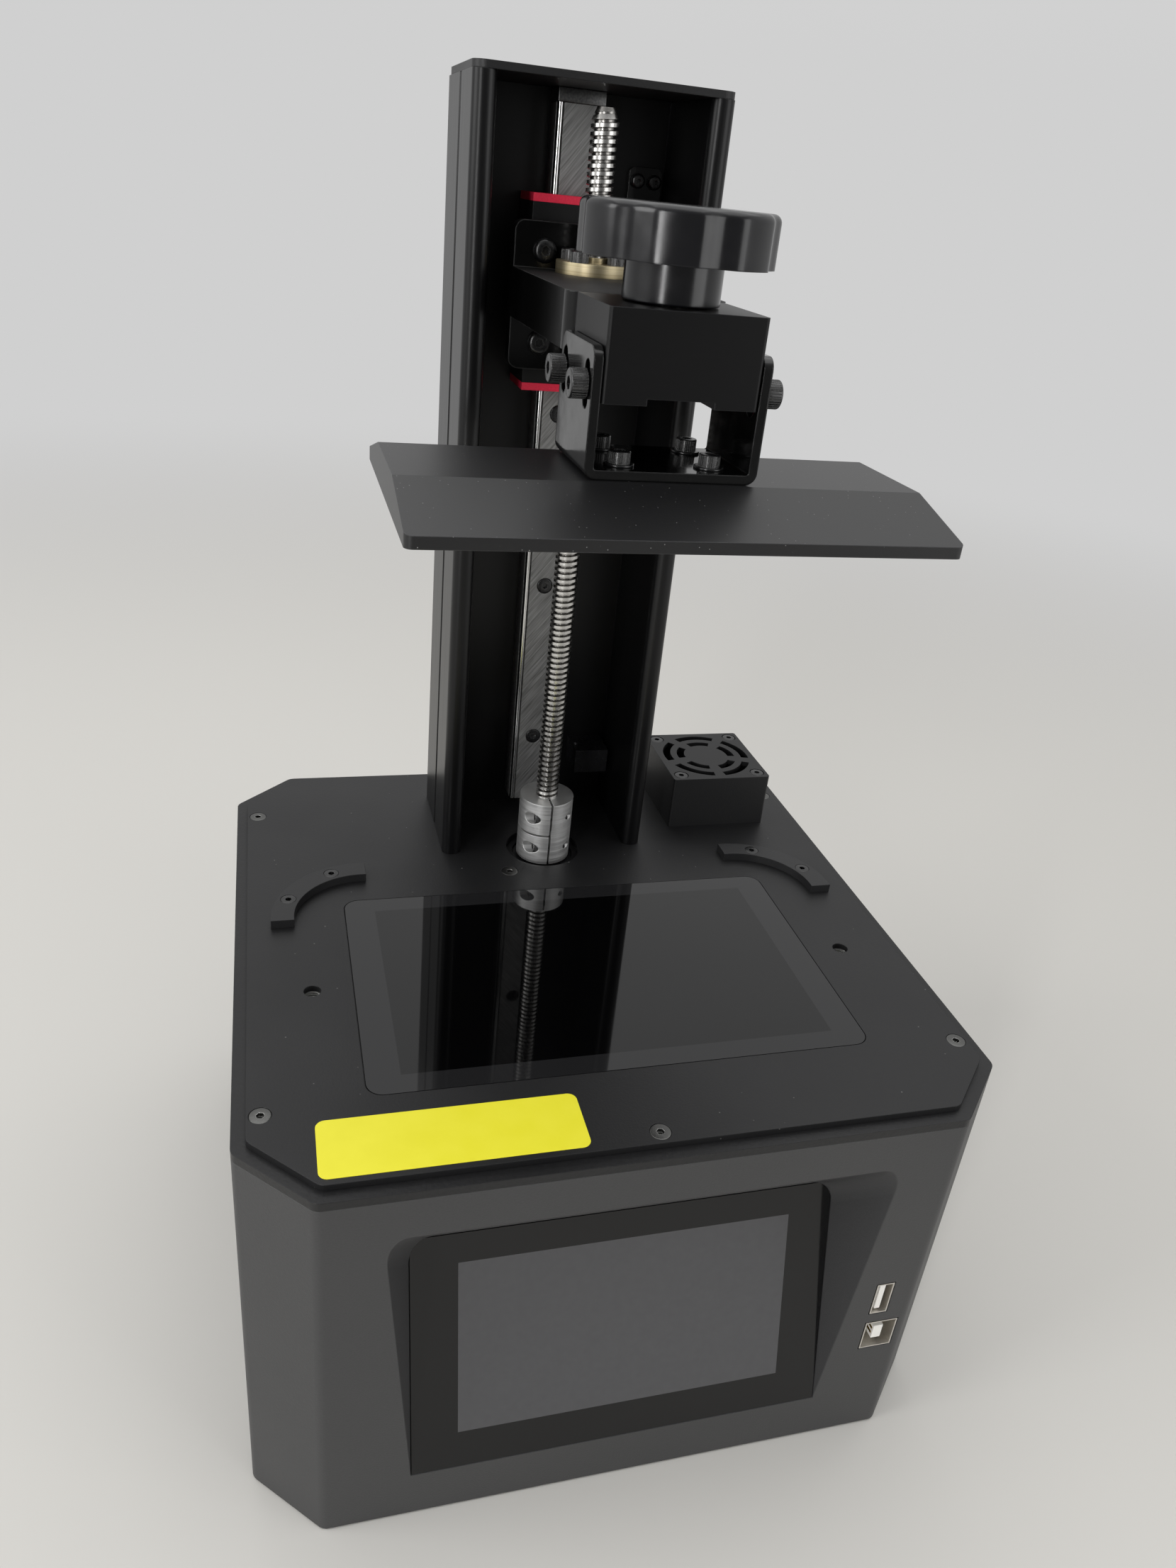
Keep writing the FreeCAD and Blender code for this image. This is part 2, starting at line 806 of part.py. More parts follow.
def cut_ports(body):
    """Openings in the front wall for the two USB ports."""
    gap = dim("port_gap")
    for port in ("usb_a", "usb_b"):
        reach = dim(f"{port}_width") / 2 + gap
        middle = dim(f"{port}_centre")
        opening = (port_seat - gap, middle - reach, port_seat + dim(f"{port}_height") + gap, middle + reach)
        cut_block(body, "XZ", front_face, dim("wall") * 2, opening)


def cut_vents(body):
    """Rows of level slots in both side walls, counted down from the seam."""
    start = front_face + dim("vent_inset")
    for level in (-dim("base_width") / 2, dim("base_width") / 2 - dim("wall")):
        slots = new_sketch(body, "YZ", level)
        for step in range(8):
            low = dim("seam_height") - dim("vent_margin") - dim("vent_pitch") * step
            rectangle(slots, start, low, start + dim("vent_length"), low + dim("vent_slot"))
        pocket(body, slots, dim("wall"))


def cut_back_openings(body):
    """Sunk panel with the inlet hole and switch opening, and the fan grille of level slots."""
    skin, wide, tall = dim("wall"), dim("io_width") / 2, dim("io_height") / 2
    z = dim("io_z")
    tray = (io_x - wide - skin, z - tall - skin, io_x + wide + skin, z + tall + skin)
    block(body, "XZ", io_face - skin, dim("io_recess") + skin / 2, tray)
    cut_block(body, "XZ", io_face, dim("io_recess"), (io_x - wide, z - tall, io_x + wide, z + tall))
    drill(body, "XZ", io_face - skin, skin, [inlet_place], dim("inlet_radius"))
    opening = new_sketch(body, "XZ", io_face - skin)
    spare = dim("fit_gap") - dim("switch_rim") * 2
    centred_rectangle(opening, *switch_place, dim("switch_width") + spare, dim("switch_height") + spare)
    pocket(body, opening, skin)
    grille = new_sketch(body, "XZ", back_face - skin)
    radius = dim("base_fan_size") / 2 - dim("fan_rim") - skin
    for step in range(-4, 5):
        middle = dim("base_fan_z") + dim("grille_pitch") * step
        length = radius * 2 * math.sqrt(1 - (step / 5) ** 2)
        centred_rectangle(grille, dim("base_fan_x"), middle, length, dim("vent_slot"))
    pocket(body, grille, skin)


def make_bottom():
    """Cover plate, its feet and its screws."""
    low, height = dim("cover_height"), dim("cover_thickness")
    cover = base_slab("bottom_cover", low, height, dim("wall") + dim("fit_gap"))
    slots = new_sketch(cover, "XY", low)
    for step in range(-3, 4):
        middle = step * dim("vent_pitch") * 2
        centred_rectangle(slots, NO_SHIFT, middle, dim("cover_slot_length"), dim("vent_slot"))
    pocket(cover, slots, height)
    drill(cover, "XY", low, height, post_places, dim("screw_shank"))
    feet = new_body("rubber_feet")
    x = dim("base_width") / 2 - dim("foot_inset")
    y = dim("base_depth") / 2 - dim("foot_inset")
    discs(feet, "XY", 0, low, four_corners(NO_SHIFT, NO_SHIFT, x, y), dim("foot_radius"))
    screws = new_body("cover_screws")
    head = dim("cover_screw_head")
    discs(screws, "XY", low - head, head, post_places, dim("plate_screw_radius"))
    discs(screws, "XY", low, height, post_places, dim("screw_shank"))


def make_deck():
    """Deck plate and the coated top plate with its window, holes and screws."""
    deck = base_slab("deck_plate", dim("seam_height"), dim("deck_thickness"), 0)
    low, height = dim("seam_height"), dim("deck_thickness")
    light = new_sketch(deck, "XY", low)
    centred_rectangle(light, NO_SHIFT, dim("print_y"), dim("light_width"), dim("light_depth"))
    pocket(deck, light, height)
    drill(deck, "XY", low, height, screw_axis, dim("motor_pilot") + dim("fit_gap"))
    drill(deck, "XY", low, height, hidden_motor_screw_places, dim("screw_shank"))
    sink = dim("motor_screw_sink")
    drill(deck, "XY", deck_top - sink, sink, hidden_motor_screw_places, dim("motor_screw_head"))
    drill(deck, "XY", low, height, plate_screw_places, dim("screw_shank"))
    drill(deck, "XY", low, height, column_screw_places, dim("screw_shank"))
    drill(deck, "XY", low, height, vat_hole_places, dim("insert_radius"))
    drill(deck, "XY", low, height, [(filter_x, filter_y)], dim("duct_radius"))
    drill(deck, "XY", low, height, filter_screw_places, dim("filter_screw_radius"))

    plate = base_slab("top_plate", deck_top, dim("plate_thickness"), dim("plate_inset"))
    height = dim("plate_thickness")
    wide, deep = dim("lcd_width") / 2, dim("lcd_depth") / 2
    window = new_sketch(plate, "XY", deck_top)
    rounded(window, -wide, dim("print_y") - deep, wide, dim("print_y") + deep, dim("lcd_round"))
    pocket(plate, window, height)
    drill(plate, "XY", deck_top, height, screw_axis, dim("coupling_hole"))
    drill(plate, "XY", deck_top, height, plate_screw_places, dim("plate_screw_radius"))
    drill(plate, "XY", deck_top, height, column_screw_places, dim("screw_shank"))
    drill(plate, "XY", deck_top, height, vat_hole_places, dim("vat_hole_radius"))
    drill(plate, "XY", deck_top, height, [(filter_x, filter_y)], dim("duct_radius"))
    drill(plate, "XY", deck_top, height, filter_screw_places, dim("filter_screw_radius"))

    screws = new_body("top_plate_screws")
    discs(screws, "XY", deck_top, height, plate_screw_places, dim("plate_screw_radius"))
    discs(screws, "XY", low, dim("deck_thickness"), plate_screw_places, dim("screw_shank"))

    glass = new_body("masking_lcd")
    pane = new_sketch(glass, "XY", deck_top)
    wide, deep = wide - dim("lcd_gap"), deep - dim("lcd_gap")
    round_off = dim("lcd_round") - dim("lcd_gap")
    rounded(pane, -wide, dim("print_y") - deep, wide, dim("print_y") + deep, round_off)
    pad(glass, pane, height)


def make_vat_fittings():
    """Threaded inserts under the top plate and the two curved guides with their screws."""
    inserts = new_body("vat_inserts")
    low = deck_top - dim("insert_length")
    discs(inserts, "XY", low, dim("insert_length"), vat_hole_places, dim("insert_radius"))
    drill(inserts, "XY", low, dim("insert_length"), vat_hole_places, dim("vat_thread_radius"))
    screw_places = []
    inner, tab = dim("guide_radius"), dim("guide_tab")
    middle, outer = inner + dim("guide_width") / 2, inner + dim("guide_width")
    for side, name in ((-1, "left"), (1, "right")):
        guide = new_body(f"vat_guide_{name}")
        plan = new_sketch(guide, "XY", plate_top)
        x, y = side * dim("guide_x"), dim("guide_y")
        outline(plan, [
            (x - side * tab, y + inner), (x, y + inner), (x + side * inner, y, -side * inner),
            (x + side * inner, y - tab), (x + side * outer, y - tab), (x + side * outer, y),
            (x, y + outer, side * outer), (x - side * tab, y + outer),
        ])
        pad(guide, plan, dim("guide_height"))
        for turn in (math.radians(23), math.radians(68)):
            screw_places.append((x + side * middle * math.cos(turn), y + middle * math.sin(turn)))
        drill(guide, "XY", plate_top, dim("guide_height"), screw_places[-2:], dim("guide_screw_radius"))
    screws = new_body("vat_guide_screws")
    discs(screws, "XY", plate_top, dim("guide_height"), screw_places, dim("guide_screw_radius"))


def make_screen():
    """Touch glass on the leaning seat and the display behind its window."""
    gap, thickness = dim("fit_gap"), dim("screen_glass")
    glass = new_body("touch_screen")
    half = screen_half - gap
    side = new_sketch(glass, "YZ", -half)
    leaning_slab(side, dim("recess_bottom") + gap, screen_top - gap, NO_SHIFT, thickness)
    pad(glass, side, half * 2)
    display = new_body("display_module")
    side = new_sketch(display, "YZ", -display_half)
    leaning_slab(side, display_bottom, display_top, thickness, dim("display_thickness"))
    pad(display, side, display_half * 2)


def make_ports():
    """USB shells on the upright main board, and the board's bracket on the bottom cover."""
    skin, inside_depth = dim("port_shell"), dim("port_depth") - dim("port_floor")
    for port in ("usb_a", "usb_b"):
        body = new_body(f"{port}_port")
        low = dim(f"{port}_centre") - dim(f"{port}_width") / 2
        high = dim(f"{port}_centre") + dim(f"{port}_width") / 2
        side = port_seat + dim(f"{port}_height")
        block(body, "XZ", front_face, dim("port_depth"), (port_seat, low, side, high))
        inside = (port_seat + skin, low + skin, side - skin, high - skin)
        cut_block(body, "XZ", front_face, inside_depth, inside)
        near, end = port_seat + dim(f"{port}_tongue_side"), dim(f"{port}_tongue_end")
        tongue = (near, low + end, near + dim(f"{port}_tongue"), high - end)
        recess = dim("tongue_recess")
        block(body, "XZ", front_face + recess, inside_depth - recess, tongue)

    thickness = dim("board_thickness")
    board = new_body("main_board")
    front = front_face + dim("wall") * 2
    end = front + dim("board_length")
    low, high = dim("board_bottom"), dim("board_bottom") + dim("board_height")
    block(board, "YZ", port_seat - thickness, thickness, (front, low, end, high))
    bracket = new_body("board_bracket")
    sheet_thickness, foot = dim("bracket_sheet"), dim("bracket_foot")
    outer = port_seat - thickness - dim("standoff_length") - sheet_thickness
    start = front + dim("bracket_setback")
    block(bracket, "YZ", outer, sheet_thickness, (start, cover_top, end, high))
    block(bracket, "YZ", outer - foot, foot, (start, cover_top, end, cover_top + sheet_thickness))
    margin = dim("standoff_inset")
    places = [(y, z) for y in (start + margin, end - margin) for z in (low + margin, high - margin)]
    standoff_level = outer + sheet_thickness
    discs(bracket, "YZ", standoff_level, dim("standoff_length"), places, dim("standoff_radius"))


def make_lamp():
    """Reflector under the deck, LED board and finned heat sink."""
    top, skin = dim("seam_height"), dim("reflector_wall")
    floor = top - dim("reflector_height")
    x, y = head_axis[0]
    reflector = new_body("lamp_reflector")
    sections = {}
    for kind, extra in (("Additive", skin * 2), ("Subtractive", NO_SHIFT)):
        low = new_sketch(reflector, "XY", floor)
        spare = extra - dim("reflector_step") * 2
        centred_rectangle(low, x, y, dim("lamp_width") + spare, dim("lamp_depth") + spare)
        high = new_sketch(reflector, "XY", top)
        centred_rectangle(high, x, y, dim("light_width") + extra, dim("light_depth") + extra)
        sections[kind] = [low, high]
    loft(reflector, "Additive", sections["Additive"])
    rim = dim("reflector_flange") * 2
    flange = new_sketch(reflector, "XY", top - skin)
    centred_rectangle(flange, x, y, dim("light_width") + rim, dim("light_depth") + rim)
    pad(reflector, flange, skin)
    loft(reflector, "Subtractive", sections["Subtractive"])

    board = new_body("lamp_board")
    plan = new_sketch(board, "XY", floor - dim("lamp_board"))
    centred_rectangle(plan, x, y, dim("lamp_width"), dim("lamp_depth"))
    pad(board, plan, dim("lamp_board"))
    chips = new_sketch(board, "XY", floor)
    for column in range(-2, 3):
        for rank in range(-1, 2):
            chip_x, chip_y = dim("led_pitch_x") * column, y + dim("led_pitch_y") * rank
            centred_rectangle(chips, chip_x, chip_y, dim("led_size"), dim("led_size"))
    pad(board, chips, dim("led_height"))

    sink = new_body("heat_sink")
    base = floor - dim("lamp_board") - dim("sink_base")
    plan = new_sketch(sink, "XY", base)
    centred_rectangle(plan, x, y, dim("lamp_width"), dim("lamp_depth"))
    pad(sink, plan, dim("sink_base"))
    fins = new_sketch(sink, "XY", base - dim("sink_fin"))
    fin_pitch = (dim("lamp_width") - dim("fin_thickness")) / 10
    for step in range(-5, 6):
        centred_rectangle(fins, fin_pitch * step, y, dim("fin_thickness"), dim("lamp_depth"))
    pad(sink, fins, dim("sink_fin"))


def make_fan(name, size, pitch, hub, depth):
    """Square fan frame with a spindle, and a bladed rotor that turns on it; made about its own Z axis."""
    frame = new_body(f"{name}_frame")
    middle = [(NO_SHIFT, NO_SHIFT)]
    web, gap = dim("fan_web"), dim("fit_gap")
    plan = new_sketch(frame, "XY", 0)
    rounded(plan, -size / 2, -size / 2, size / 2, size / 2, dim("fan_round"))
    pad(frame, plan, depth)
    hole = size / 2 - dim("fan_rim")
    drill(frame, "XY", 0, depth, middle, hole)
    reach, half = hole + dim("fan_rim") / 2, dim("fan_spoke")
    block(frame, "XY", 0, web, (-reach, -half, reach, half))
    block(frame, "XY", 0, web, (-half, -reach, half, reach))
    discs(frame, "XY", 0, web, middle, hub)
    discs(frame, "XY", web, dim("fan_pin_length"), middle, dim("fan_pin_radius"))
    corners = four_corners(NO_SHIFT, NO_SHIFT, pitch / 2, pitch / 2)
    drill(frame, "XY", 0, depth, corners, dim("filter_screw_radius"))

    rotor = new_body(f"{name}_rotor")
    low, high = web + gap, depth - gap * 2
    root = hub - dim("fan_pin_radius")
    blade = new_sketch(rotor, "YZ", root)
    lean, edge = dim("fan_blade_lean"), dim("fan_blade_edge")
    outline(blade, [
        (-lean, low + edge / 2), (-lean + edge, low), (lean, high - edge / 2), (lean - edge, high),
    ])
    vane = pad(rotor, blade, hole - dim("fan_tip_gap") - root)
    polar(rotor, [vane], 7)
    discs(rotor, "XY", low, high - low, middle, hub)
    bore = dim("fan_pin_length")
    drill(rotor, "XY", low, bore, middle, dim("fan_pin_radius") + dim("running_gap"))
    return frame, rotor


def put(bodies, place):
    """Move bodies that were made about their own axis."""
    for body in bodies:
        for axis, distance in zip("xyz", place):
            bind(body, f"Placement.Base.{axis}", distance)


def make_fans():
    """Large fan on the back wall, blowing back, and the small one under the filter box, blowing up."""
    depth = dim("base_fan_depth")
    fan = make_fan("base_fan", dim("base_fan_size"), dim("base_fan_pitch"), dim("base_fan_hub"), depth)
    for body in fan:
        body.Placement.Rotation = FreeCAD.Rotation(Vector(1, 0, 0), -90)
    put(fan, (dim("base_fan_x"), back_face - dim("wall") - depth, dim("base_fan_z")))
    depth = dim("filter_fan_depth")
    fan = make_fan("filter_fan", dim("filter_size"), dim("filter_pitch"), dim("filter_fan_hub"), depth)
    put(fan, (filter_x, filter_y, dim("seam_height") - depth))


def make_back_fittings():
    """Power inlet, switch frame and rocker in the sunk panel of the back wall."""
    inlet = new_body("power_inlet")
    floor = io_face - dim("jack_depth")
    discs(inlet, "XZ", io_face - dim("inlet_depth"), dim("inlet_depth"), [inlet_place], dim("inlet_radius"))
    discs(inlet, "XZ", io_face, dim("inlet_flange_height"), [inlet_place], dim("inlet_flange"))
    drill(inlet, "XZ", floor, dim("inlet_depth"), [inlet_place], dim("jack_radius"))
    discs(inlet, "XZ", floor, dim("jack_pin_length"), [inlet_place], dim("jack_pin"))

    x, z = switch_place
    rim, gap, skin = dim("switch_rim"), dim("rocker_gap"), dim("switch_wall")
    wide, tall = dim("switch_width") / 2, dim("switch_height") / 2
    frame = new_body("switch_frame")
    block(frame, "XZ", io_face, rim, (x - wide, z - tall, x + wide, z + tall))
    barrel = (x - wide + rim, z - tall + rim, x + wide - rim, z + tall - rim)
    block(frame, "XZ", io_face - dim("switch_depth"), dim("switch_depth"), barrel)
    wide, tall = wide - rim - skin, tall - rim - skin
    well = dim("switch_well")
    cut_block(frame, "XZ", io_face + rim - well, well, (x - wide, z - tall, x + wide, z + tall))
    pivot = io_face - dim("rocker_pivot_depth")
    radius = dim("rocker_pivot")
    discs(frame, "YZ", x - wide - skin / 2, wide * 2 + skin, [(pivot, z)], radius)

    rocker = new_body("power_rocker")
    reach, keel = tall - gap, dim("rocker_keel")
    crown, valley = pivot + dim("rocker_crown"), pivot + dim("rocker_valley")
    profile = new_sketch(rocker, "YZ", x - wide + gap)
    outline(profile, [
        (pivot - keel, z - keel), (valley, z - reach), (crown, z - reach + gap),
        (valley, z), (crown, z + reach - gap), (valley, z + reach), (pivot - keel, z + keel),
    ])
    pad(rocker, profile, (wide - gap) * 2)
    drill(rocker, "YZ", x - wide, wide * 2, [(pivot, z)], radius + dim("running_gap"))


def make_filter():
    """Filter box with a five-spoke grille of curved slots, its long screws and the carbon pad."""
    x, y = filter_x, filter_y
    half, skin, height = dim("filter_size") / 2, dim("filter_wall"), dim("filter_height")
    box = new_body("filter_box")
    block(box, "XY", plate_top, height, (x - half, y - half, x + half, y + half))
    fillet(box, is_upright, dim("filter_round"))
    inner = half - skin
    cut_block(box, "XY", plate_top, height - skin, (x - inner, y - inner, x + inner, y + inner))
    discs(box, "XY", plate_top, height - skin / 2, filter_screw_places, dim("filter_boss"))
    drill(box, "XY", plate_top, height, filter_screw_places, dim("filter_screw_radius"))
    lid = plate_top + height
    sink = dim("filter_screw_sink")
    drill(box, "XY", lid - sink, sink, filter_screw_places, dim("filter_screw_head"))
    grille = new_sketch(box, "XY", lid - skin)
    for ring in range(2):
        large = dim("grille_outer") - (dim("grille_slot") + dim("grille_bar")) * ring
        small = large - dim("grille_slot")
        for step in range(5):
            ring_slot(grille, x, y, large, small, 2 * math.pi * (step + 0.25) / 5)
    pocket(box, grille, skin)

    screws = new_body("filter_screws")
    shank_low = dim("seam_height") - dim("filter_fan_depth")
    shank = lid - sink - shank_low
    discs(screws, "XY", lid - sink, sink, filter_screw_places, dim("filter_screw_head"))
    discs(screws, "XY", shank_low, shank, filter_screw_places, dim("filter_screw_radius"))
    carbon = new_body("carbon_pad")
    discs(carbon, "XY", plate_top, dim("pad_height"), [(x, y)], dim("pad_radius"))


def ring_slot(sketch, x, y, large, small, turn):
    """One curved slot of a round grille, a fifth of a turn less a spoke."""
    half_angle = math.pi / 5 - math.asin(DIMENSIONS["grille_spoke"] / 2 / small.value)
    near_x, near_y = math.cos(turn - half_angle), math.sin(turn - half_angle)
    far_x, far_y = math.cos(turn + half_angle), math.sin(turn + half_angle)
    outline(sketch, [
        (x + small * near_x, y + small * near_y, -small),
        (x + large * near_x, y + large * near_y),
        (x + large * far_x, y + large * far_y, large),
        (x + small * far_x, y + small * far_y),
    ])


# Column: open channel with a cap, the rail on its web and the small fittings beside the rail


def make_column():
    half, inner, soft = dim("column_width") / 2, limb_inside, dim("column_round")
    front, back = column_front, column_back
    middle, cut = front + dim("column_depth") / 2, dim("side_groove")
    column = new_body("column")
    plan = new_sketch(column, "XY", plate_top)
    outline(plan, [
        (-half, back), (-half, middle + cut), (-half + cut, middle), (-half, middle - cut),
        (-half, front + soft), (-half + soft, front, soft),
        (-inner - soft, front), (-inner, front + soft, soft),
        (-inner, web_front), (inner, web_front),
        (inner, front + soft), (inner + soft, front, soft),
        (half - soft, front), (half, front + soft, soft),
        (half, middle - cut), (half - cut, middle), (half, middle + cut), (half, back),
    ])
    pad(column, plan, dim("column_height"))
    bite = dim("column_screw_bite")
    drill(column, "XY", plate_top, bite, column_screw_places, dim("screw_shank"))
    screws = new_body("column_screws")
    under, head = dim("seam_height"), dim("column_head_height")
    discs(screws, "XY", under - head, head, column_screw_places, dim("column_screw_head"))
    discs(screws, "XY", under, plate_top + bite - under, column_screw_places, dim("screw_shank"))
    cap = new_body("column_cap")
    plan = new_sketch(cap, "XY", column_top)
    rounded(plan, -half, front, half, back, dim("cap_round"))
    pad(cap, plan, dim("cap_thickness"))


def make_rail():
    half, radius = dim("rail_width") / 2, dim("rod_radius")
    notch = radius * 2
    length = rail_top - rail_bottom
    rail = new_body("linear_rail")
    plan = new_sketch(rail, "XY", rail_bottom)
    outline(plan, [
        (-half + notch, rail_face), (half - notch, rail_face), (half - notch, rail_face + notch),
        (half, rail_face + notch), (half, web_front), (-half, web_front),
        (-half, rail_face + notch), (-half + notch, rail_face + notch),
    ])
    pad(rail, plan, length)
    margin, pitch = dim("rail_screw_margin"), dim("rail_screw_pitch")
    count = int((length - margin * 2).value / pitch.value) + 1
    places = [(NO_SHIFT, rail_bottom + margin + pitch * step) for step in range(count)]
    head = dim("rail_screw_head")
    shank = dim("rail_height") - head
    drill(rail, "XZ", rail_face, head, places, dim("rail_screw_radius"))
    drill(rail, "XZ", rail_face + head, shank, places, dim("screw_shank"))
    rods = new_body("rail_rods")
    centres = [(side * (half - radius), rail_face + radius) for side in (-1, 1)]
    discs(rods, "XY", rail_bottom, length, centres, radius)
    screws = new_body("rail_screws")
    discs(screws, "XZ", rail_face, head, places, dim("rail_screw_radius"))
    discs(screws, "XZ", rail_face + head, shank, places, dim("screw_shank"))


def make_web_fittings():
    """Limit sensor low on the web and the small screwed plate high on it."""
    sensor = new_body("limit_sensor")
    left, deep = dim("slider_width") / 2 + dim("sensor_gap"), dim("sensor_depth")
    case_top = sensor_bottom + dim("sensor_height")
    case = (left, sensor_bottom, left + dim("sensor_width"), case_top)
    block(sensor, "XZ", web_front - deep, deep, case)
    discs(sensor, "XY", case_top, dim("button_height"), [button_place], dim("button_radius"))
    plate = new_body("web_plate")
    thickness = dim("web_plate_sheet")
    start = web_front - thickness
    left, low = limb_inside - dim("web_plate_inset"), column_top - dim("web_plate_drop")
    right, high = left + dim("web_plate_width"), low + dim("web_plate_height")
    face = new_sketch(plate, "XZ", start)
    rounded(face, left, low, right, high, dim("web_plate_round"))
    pad(plate, face, thickness)
    inset, level = dim("web_screw_inset"), high - dim("web_screw_top")
    screws = new_body("web_plate_screws")
    places = [(left + inset, level), (right - inset, level)]
    head = dim("web_screw_head")
    discs(screws, "XZ", start - head, head, places, dim("web_screw_radius"))


# Drive: stepper motor under the deck, coupling and lead screw


def make_drive():
    y, top = screw_y, dim("seam_height")
    motor = new_body("z_motor")
    half, cut = dim("motor_width") / 2, dim("motor_chamfer")
    plan = new_sketch(motor, "XY", top - dim("motor_height"))
    outline(plan, [
        (-half + cut, y - half), (half - cut, y - half), (half, y - half + cut), (half, y + half - cut),
        (half - cut, y + half), (-half + cut, y + half), (-half, y + half - cut), (-half, y - half + cut),
    ])
    pad(motor, plan, dim("motor_height"))
    pilot = dim("motor_pilot_height")
    discs(motor, "XY", top, pilot, screw_axis, dim("motor_pilot"))
    bore = dim("motor_bore_depth")
    drill(motor, "XY", top - bore, bore + pilot, screw_axis, dim("shaft_radius") + dim("running_gap"))
    bite, sink = dim("motor_screw_bite"), dim("motor_screw_sink")
    drill(motor, "XY", top - bite, bite, hidden_motor_screw_places, dim("screw_shank"))
    screws = new_body("motor_screws")
    shank = bite + dim("deck_thickness") - sink
    discs(screws, "XY", deck_top - sink, sink, hidden_motor_screw_places, dim("motor_screw_head"))
    discs(screws, "XY", top - bite, shank, hidden_motor_screw_places, dim("screw_shank"))

    shaft = new_body("motor_shaft")
    start = top - bore + dim("fit_gap")
    discs(shaft, "XY", start, shaft_top - start, screw_axis, dim("shaft_radius"))
    screw = new_body("lead_screw")
    length = column_top - dim("screw_drop") - screw_bottom
    discs(screw, "XY", screw_bottom, length, screw_axis, dim("screw_radius"))
    make_coupling()


def make_coupling():
    """Clamp coupling with an upright slit, a half cut and two clamp screws across the slit."""
    y, radius, length = screw_y, dim("coupling_radius"), dim("coupling_length")
    low, slit = coupling_top - length, dim("coupling_slit") / 2
    body = new_body("shaft_coupling")
    discs(body, "XY", low, length, screw_axis, radius)
    drill(body, "XY", low, screw_bottom - low, screw_axis, dim("shaft_radius"))
    drill(body, "XY", screw_bottom, coupling_top - screw_bottom, screw_axis, dim("screw_radius"))
    cut_block(body, "XY", low, length, (-slit, y - radius, slit, y))
    cut_block(body, "XY", screw_bottom - slit, slit * 2, (-radius, y - radius, -slit, y + radius))
    depth = y - dim("clamp_screw_offset")
    places = [(depth, low + length / 4), (depth, coupling_top - length / 4)]
    head, seat, shank = dim("clamp_screw_head"), -dim("clamp_screw_seat"), dim("clamp_screw_shank")
    drill(body, "YZ", -radius, radius * 2, places, shank)
    drill(body, "YZ", -radius, radius + seat, places, head)
    screws = new_body("coupling_screws")
    discs(screws, "YZ", seat - head, head, places, head)
    discs(screws, "YZ", seat, dim("clamp_screw_length"), places, shank)


# Carriage: slider on the rail, arm with its wing plate and tongue, lead nut and sensor flag


def slider_plan(sketch):
    """Plan of the slider around the rail."""
    side, back = dim("slider_width") / 2, web_front - dim("slider_lift")
    channel, floor = dim("rail_width") / 2 + dim("fit_gap"), rail_face - dim("fit_gap")
    outline(sketch, [
        (-side, slider_front), (side, slider_front), (side, back), (channel, back),
        (channel, floor), (-channel, floor), (-channel, back), (-side, back),
    ])


def make_slider():
    seal, length = dim("seal_thickness"), dim("slider_length")
    low = slider_middle - length / 2
    slider = new_body("slider_block")
    plan = new_sketch(slider, "XY", low + seal)
    slider_plan(plan)
    pad(slider, plan, length - seal * 2)
    bite = dim("wing_screw_bite")
    drill(slider, "XZ", slider_front, bite, wing_screw_places, dim("screw_shank"))
    seals = new_body("slider_seals")
    for level in (low, low + length - seal):
        plan = new_sketch(seals, "XY", level)
        slider_plan(plan)
        pad(seals, plan, seal)
    screws = new_body("arm_screws")
    head, shank = dim("wing_screw_head"), dim("wing_thickness") + bite
    discs(screws, "XZ", wing_face - head, head, wing_screw_places, dim("wing_screw_radius"))
    discs(screws, "XZ", wing_face, shank, wing_screw_places, dim("screw_shank"))


def make_arm():
    half, soft = dim("wing_width") / 2, dim("arm_round")
    tall = dim("wing_height") / 2
    arm = new_body("carriage_arm")
    wing = new_sketch(arm, "XZ", wing_face)
    rounded(wing, -half, slider_middle - tall, half, slider_middle + tall, dim("wing_round"))
    pad(arm, wing, dim("wing_thickness"))
    thickness = dim("arm_thickness")
    low = arm_top - thickness
    back, front = wing_face + dim("wing_thickness") / 2, arm_front
    plan = new_sketch(arm, "XY", low)
    outline(plan, [
        (-half, back), (-half, front + soft), (-half + soft, front, soft),
        (half - soft, front), (half, front + soft, soft), (half, back),
    ])
    pad(arm, plan, thickness)
    side, tall = dim("tongue_width") / 2, dim("tongue_thickness")
    tongue = (-side, front - dim("tongue_length"), side, front + soft)
    block(arm, "XY", tongue_top - tall, tall, tongue)
    drill(arm, "XY", low, thickness, screw_axis, dim("nut_body") + dim("running_gap"))
    bite = dim("nut_screw_bite")
    drill(arm, "XY", arm_top - bite, bite, nut_screw_places, dim("screw_shank"))
    drill(arm, "XZ", wing_face, dim("wing_thickness"), wing_screw_places, dim("screw_shank"))

    flange = dim("nut_flange_height")
    nut = new_body("lead_nut")
    low, length = arm_top - dim("nut_stem"), dim("nut_stem") + flange + dim("nut_hub")
    discs(nut, "XY", arm_top, flange, screw_axis, dim("nut_flange"))
    discs(nut, "XY", low, length, screw_axis, dim("nut_body"))
    drill(nut, "XY", low, length, screw_axis, dim("screw_radius") + dim("running_gap"))
    drill(nut, "XY", arm_top, flange, nut_screw_places, dim("screw_shank"))
    screws = new_body("nut_screws")
    head = dim("nut_screw_head")
    discs(screws, "XY", arm_top + flange, head, nut_screw_places, dim("nut_screw_radius"))
    discs(screws, "XY", arm_top - bite, bite + flange, nut_screw_places, dim("screw_shank"))


